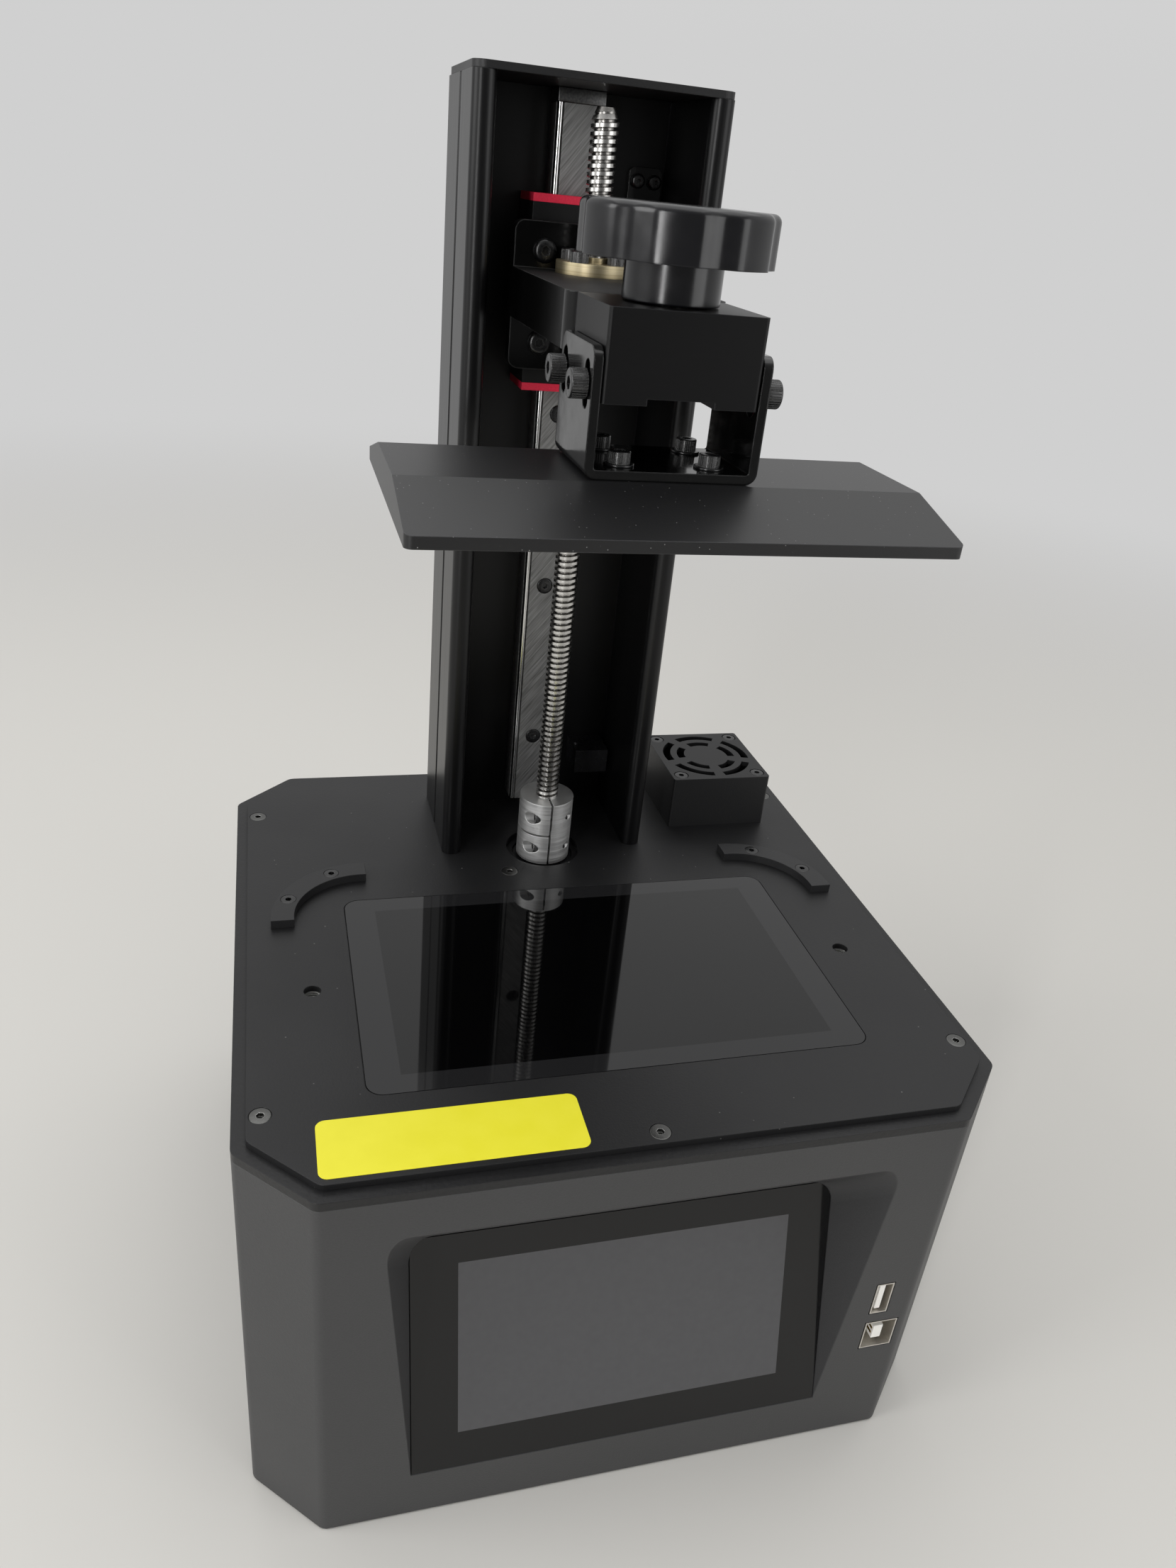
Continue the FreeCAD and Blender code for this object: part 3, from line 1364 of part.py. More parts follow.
def make_flag():
    """Bent strip behind the wing plate that comes down on the limit sensor at the end of the travel."""
    left, right = flag_middle - dim("flag_width") / 2, flag_middle + dim("flag_width") / 2
    low, skin = button_top + travel_down + dim("fit_gap"), dim("flag_sheet")
    flag = new_body("sensor_flag")
    block(flag, "XZ", slider_front, skin, (left, low, right, low + dim("flag_height")))
    reach = button_place[1] + dim("button_radius") - slider_front
    block(flag, "XZ", slider_front, reach, (left, low, right, low + skin))


# Platform head: clamp block on the arm's tongue, knob and stud, levelling yoke and build plate

yoke_half = dim("block_width") / 2 + dim("fit_gap") + dim("yoke_wall")
yoke_floor = platform_top + dim("yoke_wall")
level_places = [(dim("print_y") + side * dim("slot_spread"), level_height) for side in (-1, 1)]
knob_bottom = arm_top + dim("fit_gap")


def make_clamp():
    half, gap = dim("block_width") / 2, dim("fit_gap")
    low, front, back = block_bottom, block_front, block_back
    body = new_body("clamp_block")
    block(body, "XY", low, dim("block_height"), (-half, front, half, back))
    fillet(body, is_upright, dim("block_round"))
    side, tip = dim("tongue_width") / 2 + gap, arm_front - dim("tongue_length") - gap
    socket = (-side, tongue_top - dim("tongue_thickness") - gap, side, tongue_top + gap)
    cut_block(body, "XZ", tip, back - tip, socket)
    drill(body, "XY", tongue_top, arm_top - tongue_top, head_axis, dim("stud_radius") + dim("stud_gap"))
    groove = dim("groove_width") / 2
    cut_block(body, "XY", low, dim("groove_depth"), (-groove, front, groove, back))
    bite = dim("level_screw_bite")
    for level in (-half, half - bite):
        drill(body, "YZ", level, bite, level_places, dim("level_screw_radius"))

    screws = new_body("levelling_screws")
    seat, head = yoke_half + gap, dim("level_head_length")
    shank = seat - half + bite
    for head_level, shank_level in ((-seat - head, -seat), (seat, half - bite)):
        discs(screws, "YZ", head_level, head, level_places, dim("level_screw_head"))
        discs(screws, "YZ", shank_level, shank, level_places, dim("level_screw_radius"))

    stud = new_body("clamp_stud")
    start = tongue_top + gap
    discs(stud, "XY", start, knob_bottom + dim("knob_insert") - start, head_axis, dim("stud_radius"))
    make_knob()


def make_knob():
    """Seven-lobed knob with a round neck, bored for the stud."""
    body = new_body("clamp_knob")
    neck_top = knob_bottom + dim("knob_neck_height")
    discs(body, "XY", knob_bottom, dim("knob_neck_height"), head_axis, dim("knob_neck_radius"))
    head = new_sketch(body, "XY", neck_top)
    corners = []
    reach = dim("knob_pitch_radius")
    rest_turn = -0.24  # share of a lobe that the knob stands turned at rest
    for step in range(7):
        for share, bend in ((-0.31, -dim("knob_scallop_radius")), (0.31, dim("knob_lobe_radius"))):
            turn = 2 * math.pi * (step + share + rest_turn) / 7
            corners.append((reach * math.cos(turn), dim("print_y") + reach * math.sin(turn), bend))
    outline(head, corners)
    pad(body, head, dim("knob_height"))
    top = neck_top + dim("knob_height")
    fillet(body, lambda edge: edge.BoundBox.ZMin > top.value - 1e-4, dim("knob_round"))
    bore = dim("knob_insert") + dim("fit_gap")
    drill(body, "XY", knob_bottom, bore, head_axis, dim("stud_radius") + dim("running_gap"))


def make_yoke():
    half, skin, bend = yoke_half, dim("yoke_wall"), dim("yoke_bend")
    inner, tight = half - skin, bend - skin
    low, top = platform_top, platform_top + dim("yoke_height")
    body = new_body("plate_yoke")
    front = block_front + dim("yoke_setback")
    profile = new_sketch(body, "XZ", front)
    outline(profile, [
        (-half, top), (-half, low + bend), (-half + bend, low, bend), (half - bend, low),
        (half, low + bend, bend), (half, top), (inner, top), (inner, yoke_floor + tight),
        (inner - tight, yoke_floor, -tight), (-inner + tight, yoke_floor),
        (-inner, yoke_floor + tight, -tight), (-inner, top),
    ])
    pad(body, profile, block_back - front)
    slots = new_sketch(body, "YZ", -half)
    for y, z in level_places:
        slot(slots, y, z, dim("slot_width"), dim("slot_length"))
    pocket(body, slots, half * 2)
    drill(body, "XY", low, skin, yoke_screw_places, dim("screw_shank"))

    screws = new_body("yoke_screws")
    washer, head, bite = dim("washer_height"), dim("yoke_head_height"), dim("yoke_screw_bite")
    discs(screws, "XY", yoke_floor, washer, yoke_screw_places, dim("washer_radius"))
    discs(screws, "XY", yoke_floor + washer, head, yoke_screw_places, dim("yoke_screw_head"))
    discs(screws, "XY", low - bite, bite + skin, yoke_screw_places, dim("screw_shank"))

    plate = new_body("build_plate")
    deep, flat = dim("platform_depth") / 2, dim("platform_flat") / 2
    y, edge = dim("print_y"), low - dim("platform_rise")
    roof = new_sketch(plate, "YZ", -dim("platform_width") / 2)
    outline(roof, [
        (y - deep, platform_bottom), (y + deep, platform_bottom), (y + deep, edge),
        (y + flat, low), (y - flat, low), (y - deep, edge),
    ])
    pad(plate, roof, dim("platform_width"))
    fillet(plate, is_upright, dim("platform_round"))
    drill(plate, "XY", low - bite, bite, yoke_screw_places, dim("screw_shank"))


make_housing()
make_bottom()
make_deck()
make_vat_fittings()
make_screen()
make_ports()
make_lamp()
make_fans()
make_back_fittings()
make_filter()
make_column()
make_rail()
make_web_fittings()
make_drive()
make_slider()
make_arm()
make_flag()
make_clamp()
make_yoke()
doc.recompute()

# Every object has to be sound before anything is written.
failed = [item.Name for item in doc.Objects if {"Invalid", "Error"} & set(item.State)]
nodes = [item for item in doc.Objects if item.TypeId == "PartDesign::Body"]
failed += [node.Label for node in nodes if node.Shape.isNull() or not node.Shape.isValid()]
if failed:
    raise RuntimeError(f"not sound: {failed}")

os.makedirs("parts", exist_ok=True)
for node in nodes:
    node.Shape.exportStep(f"parts/{node.Label}.step")
print(len(nodes), "nodes")
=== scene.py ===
"""A desktop resin printer: a base with a masking screen, a column with a driven carriage, and a build plate.

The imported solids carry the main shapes. This file gives every piece its finish, and models the ones
that need more than a plain solid: the thread of the lead screw, socketed and knurled screws, the
threaded vat inserts, the contacts in the ports, the sticker, the rail's end block, the knob and the yoke.
"""
import math

import bmesh
import bpy
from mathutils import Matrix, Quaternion, Vector


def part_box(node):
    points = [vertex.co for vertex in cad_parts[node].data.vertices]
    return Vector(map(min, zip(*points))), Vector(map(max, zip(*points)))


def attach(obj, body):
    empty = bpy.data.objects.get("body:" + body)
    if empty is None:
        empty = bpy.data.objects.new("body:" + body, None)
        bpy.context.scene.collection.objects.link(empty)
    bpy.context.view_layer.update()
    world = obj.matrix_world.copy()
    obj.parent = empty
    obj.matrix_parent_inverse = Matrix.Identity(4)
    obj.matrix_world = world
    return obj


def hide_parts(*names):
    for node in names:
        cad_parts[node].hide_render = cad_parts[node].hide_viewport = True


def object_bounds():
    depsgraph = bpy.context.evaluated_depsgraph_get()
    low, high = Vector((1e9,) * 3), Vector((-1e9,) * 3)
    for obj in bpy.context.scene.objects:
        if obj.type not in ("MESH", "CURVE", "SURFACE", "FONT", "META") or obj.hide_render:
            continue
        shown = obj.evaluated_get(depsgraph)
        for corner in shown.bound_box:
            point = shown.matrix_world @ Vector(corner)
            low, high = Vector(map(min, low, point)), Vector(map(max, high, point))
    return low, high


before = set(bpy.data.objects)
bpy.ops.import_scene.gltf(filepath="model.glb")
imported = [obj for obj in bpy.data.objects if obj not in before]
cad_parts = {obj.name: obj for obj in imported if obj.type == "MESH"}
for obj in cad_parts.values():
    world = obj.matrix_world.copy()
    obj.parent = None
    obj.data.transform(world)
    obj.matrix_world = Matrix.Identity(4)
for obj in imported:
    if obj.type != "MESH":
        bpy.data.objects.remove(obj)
cad_low, cad_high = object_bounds()
MM = 0.001

# The camera stands in front of the printer, to its left and above its top plate, and looks down.
# Its place, aim and small roll come from the square base and the upright column in the picture.
camera_place = Vector((-0.0956, -0.3124, 0.3594))
camera_aim = Vector((0.0014, 0.0, 0.1889))
camera_roll = math.radians(6.02)
lens_mm = 26.17
film_mm = 36.0

camera_data = bpy.data.cameras.new("camera")
camera_data.lens = lens_mm
camera_data.sensor_width = film_mm
camera_data.clip_start = 0.01
camera = bpy.data.objects.new("camera", camera_data)
camera.rotation_mode = "QUATERNION"
level_view = (camera_aim - camera_place).to_track_quat("-Z", "Y")
camera.rotation_quaternion = level_view @ Quaternion((0.0, 0.0, 1.0), camera_roll)
camera.location = camera_place
bpy.context.collection.objects.link(camera)
bpy.context.scene.camera = camera
bpy.context.scene.view_settings.view_transform = "Standard"


# The studio: a pale table that runs out into a pale room, with broad soft lamps at the left, the right and
# above, and one tall strip lamp in front that draws an upright streak on what is round and glossy. In
# mirrors the front of the room is dim, so that upright glossy faces stay black.
def srgb(code):
    """A colour written as an sRGB hex code, as linear red, green, blue and alpha."""
    shares = [int(code[start:start + 2], 16) / 255.0 for start in (1, 3, 5)]
    linear = [share / 12.92 if share <= 0.04045 else ((share + 0.055) / 1.055) ** 2.4 for share in shares]
    return (*linear, 1.0)


def add_node(tree, kind, sockets=None, **settings):
    """Add a node with its settings, and set each named socket or link it to another node's output."""
    node = tree.nodes.new(kind)
    for name, value in settings.items():
        setattr(node, name, value)
    for name, value in (sockets or {}).items():
        if isinstance(value, bpy.types.NodeSocket):
            tree.links.new(value, node.inputs[name])
        else:
            node.inputs[name].default_value = value
    return node


def seen_by_eye_or_mirror(tree):
    """One for the rays that the camera, a mirror or a pane of glass sends out, and nought for the rest."""
    ray = add_node(tree, "ShaderNodeLightPath")
    either = add_node(tree, "ShaderNodeMath", operation="MAXIMUM",
                      sockets={0: ray.outputs["Is Camera Ray"], 1: ray.outputs["Is Glossy Ray"]})
    any_of = add_node(tree, "ShaderNodeMath", operation="MAXIMUM",
                      sockets={0: either.outputs[0], 1: ray.outputs["Is Transmission Ray"]})
    return any_of.outputs[0]


def mirrored_room(tree, along):
    """How bright the room is in a mirror: full at the sides and behind, and dim towards the front."""
    ray = add_node(tree, "ShaderNodeLightPath")
    front = add_node(tree, "ShaderNodeMapRange", sockets={
        "Value": along, "From Min": front_fade[0], "From Max": front_fade[1]})
    both = add_node(tree, "ShaderNodeMath", operation="MULTIPLY",
                    sockets={0: front.outputs[0], 1: ray.outputs["Is Glossy Ray"]})
    return add_node(tree, "ShaderNodeMapRange", sockets={
        "Value": both.outputs[0], "To Min": 1.0, "To Max": room_front})


table_size = 30.0
table_colour = "#d9d7d2"
table_fade = (0.45, 1.6)
room_low = "#d0d0d0"
room_high = "#e4e4e4"
room_light = 0.55
room_front = 0.3
front_fade = (-0.35, -0.85)
lamp_aim = Vector((0.0, 0.0, 0.2))
lamps = {
    "strip_left": ((-1.0, -1.25, 0.5), 0.16, 1.1, 9.0),
    "lamp_right": ((1.15, -1.1, 0.5), 0.9, 1.1, 6.0),
    "lamp_left": ((-1.4, -0.1, 0.8), 0.9, 0.9, 9.5),
    "lamp_above": ((0.1, 0.2, 1.6), 1.8, 1.8, 11.0),
}

bpy.ops.object.select_all(action="DESELECT")
bpy.ops.mesh.primitive_plane_add(size=table_size, location=(0.0, 0.0, cad_low.z))
table = bpy.context.active_object
table.name = "table_top"
bpy.ops.object.transform_apply(location=True, rotation=True, scale=True)
table_paint = bpy.data.materials.new("table_paint")
table_paint.use_nodes = True
tree = table_paint.node_tree
shader = tree.nodes["Principled BSDF"]
shader.inputs["Base Color"].default_value = srgb(table_colour)
shader.inputs["Roughness"].default_value = 0.9
place = add_node(tree, "ShaderNodeTexCoord").outputs["Object"]
distance = add_node(tree, "ShaderNodeVectorMath", {0: place}, operation="LENGTH")
fade = add_node(tree, "ShaderNodeMapRange", interpolation_type="SMOOTHSTEP",
                sockets={"Value": distance.outputs["Value"], "From Min": table_fade[0],
                         "From Max": table_fade[1]})
shown = add_node(tree, "ShaderNodeMath", operation="MULTIPLY",
                 sockets={0: fade.outputs[0], 1: seen_by_eye_or_mirror(tree)})
depth = add_node(tree, "ShaderNodeSeparateXYZ", {0: place}).outputs["Y"]
along = add_node(tree, "ShaderNodeMath", {0: depth, 1: distance.outputs["Value"]}, operation="DIVIDE")
dim = mirrored_room(tree, along.outputs[0])
far = add_node(tree, "ShaderNodeEmission", {"Color": srgb(room_low), "Strength": dim.outputs[0]})
mix = add_node(tree, "ShaderNodeMixShader", {0: shown.outputs[0], 1: shader.outputs[0], 2: far.outputs[0]})
tree.links.new(mix.outputs[0], tree.nodes["Material Output"].inputs["Surface"])
table.data.materials.append(table_paint)

world = bpy.data.worlds.new("room")
bpy.context.scene.world = world
world.use_nodes = True
tree = world.node_tree
tree.nodes.clear()
way = add_node(tree, "ShaderNodeTexCoord").outputs["Generated"]
parts = add_node(tree, "ShaderNodeSeparateXYZ", {0: way})
rise = add_node(tree, "ShaderNodeMapRange", {"Value": parts.outputs["Z"], "From Min": 0.1, "From Max": 0.9})
paint = add_node(tree, "ShaderNodeMix", data_type="RGBA",
                 sockets={0: rise.outputs[0], 6: srgb(room_low), 7: srgb(room_high)}).outputs[2]
glow = add_node(tree, "ShaderNodeMapRange", {"Value": seen_by_eye_or_mirror(tree), "To Min": room_light})
dim = mirrored_room(tree, parts.outputs["Y"])
level = add_node(tree, "ShaderNodeMath", {0: glow.outputs[0], 1: dim.outputs[0]}, operation="MULTIPLY")
room = add_node(tree, "ShaderNodeBackground", {"Color": paint, "Strength": level.outputs[0]})
add_node(tree, "ShaderNodeOutputWorld", {"Surface": room.outputs[0]})

for name, (place, width, tall, power) in lamps.items():
    lamp_data = bpy.data.lights.new(name, "AREA")
    lamp_data.shape = "RECTANGLE"
    lamp_data.size = width
    lamp_data.size_y = tall
    lamp_data.energy = power
    lamp = bpy.data.objects.new(name, lamp_data)
    lamp.location = place
    lamp.rotation_mode = "QUATERNION"
    lamp.rotation_quaternion = (lamp_aim - lamp.location).to_track_quat("-Z", "Y")
    bpy.context.collection.objects.link(lamp)


# Rubber feet: four moulded discs pressed into the bottom cover.
# Soft black rubber is dull, with a faint bloom and a rounded lower edge.
def new_finish(name, colour, roughness, metallic=0.0, ior=None):
    """A surface with its uniform values on the shader, and the piece's own coordinates in metres."""
    material = bpy.data.materials.new(name)
    material.use_nodes = True
    tree = material.node_tree
    shader = tree.nodes["Principled BSDF"]
    shader.inputs["Base Color"].default_value = srgb(colour)
    shader.inputs["Roughness"].default_value = roughness
    shader.inputs["Metallic"].default_value = metallic
    if ior:
        shader.inputs["IOR"].default_value = ior
    place = add_node(tree, "ShaderNodeTexCoord").outputs["Object"]
    return material, tree, shader, place


def raise_grain(tree, shader, place, grain_mm, depth_mm, edge_mm=0.0):
    """Raise a fine grain over the surface, on edges eased by a small radius, and give the grain's height."""
    height = add_node(tree, "ShaderNodeTexNoise",
                      {"Vector": place, "Scale": 1.0 / (grain_mm * MM)}).outputs[0]
    bump = add_node(tree, "ShaderNodeBump", {"Height": height, "Strength": 1.0, "Distance": depth_mm * MM})
    if edge_mm:
        eased = add_node(tree, "ShaderNodeBevel", {"Radius": edge_mm * MM}, samples=4)
        tree.links.new(eased.outputs[0], bump.inputs["Normal"])
    tree.links.new(bump.outputs[0], shader.inputs["Normal"])
    return height


def vary(shader, amount, low, high):
    """Run the shader's colour, or its roughness, from low to high as an amount goes from 0.3 to 0.7."""
    tree = shader.id_data
    share = add_node(tree, "ShaderNodeMapRange", {"Value": amount, "From Min": 0.3, "From Max": 0.7})
    if isinstance(low, str):
        paint = add_node(tree, "ShaderNodeMix", data_type="RGBA",
                         sockets={0: share.outputs[0], 6: srgb(low), 7: srgb(high)})
        tree.links.new(paint.outputs[2], shader.inputs["Base Color"])
    else:
        share.inputs["To Min"].default_value = low
        share.inputs["To Max"].default_value = high
        tree.links.new(share.outputs[0], shader.inputs["Roughness"])


def dress(material, *nodes):
    """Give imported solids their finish."""
    for node in nodes:
        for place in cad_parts[node].material_slots:
            place.material = material


foot_grain_mm = 0.7
rubber, tree, shader, place = new_finish("moulded_black_rubber", "#191919", roughness=0.82, ior=1.52)
grain = raise_grain(tree, shader, place, grain_mm=foot_grain_mm, depth_mm=0.04, edge_mm=0.8)
vary(shader, grain, "#151515", "#1e1e1e")
dress(rubber, "rubber_feet")

# Bottom cover: a flat sheet of powder-coated steel that closes the base from below.
# The baked powder leaves a satin skin with a fine orange peel, dulled a little where it was handled.
powder_peel_mm = 0.9
powder_patch_mm = 45.0
powder_coat, tree, shader, place = new_finish("powder_coated_steel", "#19191a", roughness=0.42, ior=1.42)
peel = raise_grain(tree, shader, place, grain_mm=powder_peel_mm, depth_mm=0.05, edge_mm=0.35)
patch = add_node(tree, "ShaderNodeTexNoise",
                 {"Vector": place, "Scale": 1.0 / (powder_patch_mm * MM)}).outputs[0]
vary(shader, patch, 0.37, 0.45)
vary(shader, peel, "#161617", "#1c1c1d")
dress(powder_coat, "bottom_cover")


# Cover screws: four button-head steel screws, blackened in hot oxide, that hold the bottom cover.
# Each head is turned, rounded over and broached with a hexagon; the oxide is near black
# with a dull shine, rubbed to grey steel along the edges, which are painted pale as a highlight too.
def solid_boxes(node):
    """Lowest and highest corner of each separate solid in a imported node, in a fixed order."""
    mesh = bmesh.new()
    mesh.from_mesh(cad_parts[node].data)
    bmesh.ops.remove_doubles(mesh, verts=mesh.verts, dist=1e-6)
    boxes = []
    left = set(mesh.verts)
    while left:
        reached = [left.pop()]
        for corner in reached:
            for edge in corner.link_edges:
                other = edge.other_vert(corner)
                if other in left:
                    left.remove(other)
                    reached.append(other)
        low = Vector([min(corner.co[axis] for corner in reached) for axis in range(3)])
        high = Vector([max(corner.co[axis] for corner in reached) for axis in range(3)])
        boxes.append((low, high))
    mesh.free()
    return sorted(boxes, key=lambda box: tuple(round(value, 5) for value in box[0]))


def start_piece(name, primitive, **sizes):
    """Deselect everything and add one primitive, at its size and place, as the start of a piece."""
    bpy.ops.object.select_all(action="DESELECT")
    primitive(**sizes)
    piece = bpy.context.active_object
    piece.name = name
    bpy.ops.object.transform_apply(location=True, rotation=True, scale=True)
    return piece


def pick(piece, kind, test):
    """Enter edit mode and select just the faces, or edges, that pass a test."""
    bpy.context.view_layer.objects.active = piece
    bpy.ops.object.mode_set(mode="EDIT")
    bpy.ops.mesh.select_mode(type=kind)
    bpy.ops.mesh.select_all(action="DESELECT")
    mesh = bmesh.from_edit_mesh(piece.data)
    for part in mesh.faces if kind == "FACE" else mesh.edges:
        if test(part):
            part.select_set(True)
    bmesh.update_edit_mesh(piece.data)


def ease_picked(width, segments):
    """Round the picked edges over, and leave edit mode."""
    bpy.ops.mesh.bevel(offset=width, segments=segments, affect="EDGES")
    bpy.ops.object.mode_set(mode="OBJECT")


def cut_away(piece, tool, operation="DIFFERENCE"):
    """Cut a tool's shape out of a piece, keep only what is inside it or join both, and remove the tool."""
    cut = piece.modifiers.new("cut", "BOOLEAN")
    cut.operation = operation
    cut.object = tool
    bpy.ops.object.select_all(action="DESELECT")
    bpy.context.view_layer.objects.active = piece
    piece.select_set(True)
    bpy.ops.object.modifier_apply(modifier="cut")
    bpy.data.objects.remove(tool)


def every_other(face, sides):
    """Whether a side face of a round piece is one of every second face round it."""
    middle = face.calc_center_median()
    return int(math.atan2(middle.y, middle.x) / (2 * math.pi) * sides + sides) % 2 == 0


def turned_screw(node, towards, radius_mm, head_mm, socket_mm, ease_mm, shank_mm, ridges=False, washer=None):
    """One screw up Z, its seat at nought: eased head, hexagon socket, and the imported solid's length."""
    radius, head, shank = radius_mm * MM, head_mm * MM, shank_mm * MM
    low, high = solid_boxes(node)[0]
    length = sum(abs(way) * span for way, span in zip(towards, high - low)) - head
    sides = 60
    screw = start_piece("screw", bpy.ops.mesh.primitive_cylinder_add, vertices=sides, radius=radius,
                        depth=head, location=(0.0, 0.0, head / 2))
    pick(screw, "EDGE", lambda edge: all(corner.co.z > head * 0.999 for corner in edge.verts))
    ease_picked(ease_mm * MM, 4)
    if ridges:
        pick(screw, "FACE", lambda face: abs(face.normal.z) < 0.01 and every_other(face, sides))
        bpy.ops.mesh.inset(use_individual=True, thickness=radius * 0.012, depth=-radius * 0.03)
        bpy.ops.object.mode_set(mode="OBJECT")
    if length > shank / 2:
        point = shank * 0.25
        pick(screw, "FACE", lambda face: face.calc_center_median().z < head * 0.001)
        bpy.ops.mesh.inset(thickness=radius - shank)
        bpy.ops.mesh.extrude_region_move(TRANSFORM_OT_translate={"value": (0.0, 0.0, point - length)})
        bpy.ops.mesh.inset(thickness=point, depth=point)
        bpy.ops.object.mode_set(mode="OBJECT")
    key = start_piece("key", bpy.ops.mesh.primitive_cylinder_add, vertices=6,
                      radius=socket_mm * MM / math.sqrt(3.0), depth=head * 1.2, location=(0.0, 0.0, head))
    cut_away(screw, key)
    if washer:
        wide, thick = washer[0] * MM, washer[1] * MM
        ring = start_piece("ring", bpy.ops.mesh.primitive_cylinder_add, vertices=sides, radius=wide,
                           depth=thick, location=(0.0, 0.0, -thick / 2))
        pick(ring, "EDGE", lambda edge: abs(edge.verts[0].co.z - edge.verts[1].co.z) < thick * 0.1)
        ease_picked(thick * 0.25, 3)
        screw.select_set(True)
        bpy.context.view_layer.objects.active = screw
        bpy.ops.object.join()
    return screw


def place_copies(model, name, places, turns=None):
    """Copy one small model to each place, turned where turns are given, and join the copies."""
    copies = []
    for number, spot in enumerate(places):
        bpy.ops.object.select_all(action="DESELECT")
        bpy.context.view_layer.objects.active = model
        model.select_set(True)
        bpy.ops.object.duplicate(linked=False)
        copy = bpy.context.active_object
        copy.location = spot
        if turns:
            copy.rotation_mode = "QUATERNION"
            copy.rotation_quaternion = turns[number]
        bpy.ops.object.transform_apply(location=True, rotation=True, scale=True)
        copies.append(copy)
    bpy.data.objects.remove(model)
    bpy.ops.object.select_all(action="DESELECT")
    for copy in copies:
        copy.select_set(True)
    bpy.context.view_layer.objects.active = copies[0]
    if len(copies) > 1:
        bpy.ops.object.join()
    piece = bpy.context.active_object
    piece.name = name
    bpy.ops.object.shade_smooth_by_angle(angle=math.radians(35.0))
    return piece


def set_screws(screw, name, node, towards, head_mm, side=0):
    """Copy one screw to each packed screw, or those at one side, each socket at an angle of its own."""
    lie = Vector((0.0, 0.0, 1.0)).rotation_difference(Vector(towards))
    seats = []
    for low, high in solid_boxes(node):
        seat = (low + high) / 2
        if seat.x * side < 0.0:
            continue
        for axis, way in enumerate(towards):
            if way:
                seat[axis] = (high if way > 0 else low)[axis] - way * head_mm * MM
        seats.append(seat)
    turns = [lie @ Quaternion((0.0, 0.0, 1.0), 0.3 + 0.7 * number) for number in range(len(seats))]
    return place_copies(screw, name, seats, turns)


def edge_mask(tree, reach_mm):
    """How far the surface is turned by an eased edge: about nought on the flat and one along an edge."""
    flat = add_node(tree, "ShaderNodeNewGeometry").outputs["Normal"]
    eased = add_node(tree, "ShaderNodeBevel", {"Radius": reach_mm * MM}, samples=4).outputs[0]
    turn = add_node(tree, "ShaderNodeVectorMath", {0: flat, 1: eased}, operation="DOT_PRODUCT")
    return add_node(tree, "ShaderNodeMapRange", sockets={
        "Value": turn.outputs["Value"], "From Min": 0.995, "From Max": 0.8}).outputs[0]


def paint_edge_highlight_and_wear(tree, shader, skin, reach_mm, share, bare):
    """Paint the edges of the skin paler by a share: a painted highlight, on screws also worn steel."""
    highlight_and_wear = add_node(tree, "ShaderNodeMath", {0: edge_mask(tree, reach_mm), 1: share}, operation="MULTIPLY")
    paint = add_node(tree, "ShaderNodeMix", {0: highlight_and_wear.outputs[0], 6: skin, 7: srgb(bare)}, data_type="RGBA")
    tree.links.new(paint.outputs[2], shader.inputs["Base Color"])


oxide_patch_mm = 1.2
black_oxide, tree, shader, place = new_finish("black_oxide_steel", "#0c0c0d", roughness=0.28, ior=1.6)
grain = raise_grain(tree, shader, place, grain_mm=0.25, depth_mm=0.006, edge_mm=0.12)
patch = add_node(tree, "ShaderNodeTexNoise",
                 {"Vector": place, "Scale": 1.0 / (oxide_patch_mm * MM)}).outputs[0]
vary(shader, patch, 0.22, 0.34)
skin = add_node(tree, "ShaderNodeMix", data_type="RGBA",
                sockets={0: grain, 6: srgb("#0a0a0b"), 7: srgb("#121213")}).outputs[2]
# Worn steel and a painted highlight: the edges are painted pale grey.
paint_edge_highlight_and_wear(tree, shader, skin, reach_mm=0.2, share=0.6, bare="#7c7c7b")


def fit_screws(name, node, body, towards, finish=black_oxide, slot="black_steel", side=0, **sizes):
    """Make one screw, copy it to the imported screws, or those at one side, and replace them."""
    screw = turned_screw(node, towards, **sizes)
    piece = set_screws(screw, name, node, towards, sizes["head_mm"], side)
    piece.data.materials.append(finish)
    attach(piece, body)
    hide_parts(node)


fit_screws("cover_button_screws", "cover_screws", "base", (0, 0, -1),
           radius_mm=3.0, head_mm=1.5, socket_mm=2.0, ease_mm=0.9, shank_mm=1.5)

# Base housing: one deep moulding in black ABS with cut corners, a front recess, vent slots and screw posts.
# The mould's spark-eroded face gives a dull, even grain, drawn coarser than the real one so that it shows;
# the corners are painted paler as a highlight.
abs_grain_mm = 0.55
abs_flow_mm = 60.0
moulded_abs, tree, shader, place = new_finish("spark_grained_black_abs", "#343435", roughness=0.5, ior=1.54)
grain = raise_grain(tree, shader, place, grain_mm=abs_grain_mm, depth_mm=0.05, edge_mm=0.7)
flow = add_node(tree, "ShaderNodeTexNoise", {"Vector": place, "Scale": 1.0 / (abs_flow_mm * MM)}).outputs[0]
vary(shader, flow, 0.46, 0.55)
skin = add_node(tree, "ShaderNodeMix", data_type="RGBA",
                sockets={0: grain, 6: srgb("#2f2f30"), 7: srgb("#3a3a3b")}).outputs[2]
# Painted highlight: the corners are painted paler.
paint_edge_highlight_and_wear(tree, shader, skin, reach_mm=0.8, share=0.5, bare="#4a4a4b")
dress(moulded_abs, "housing")

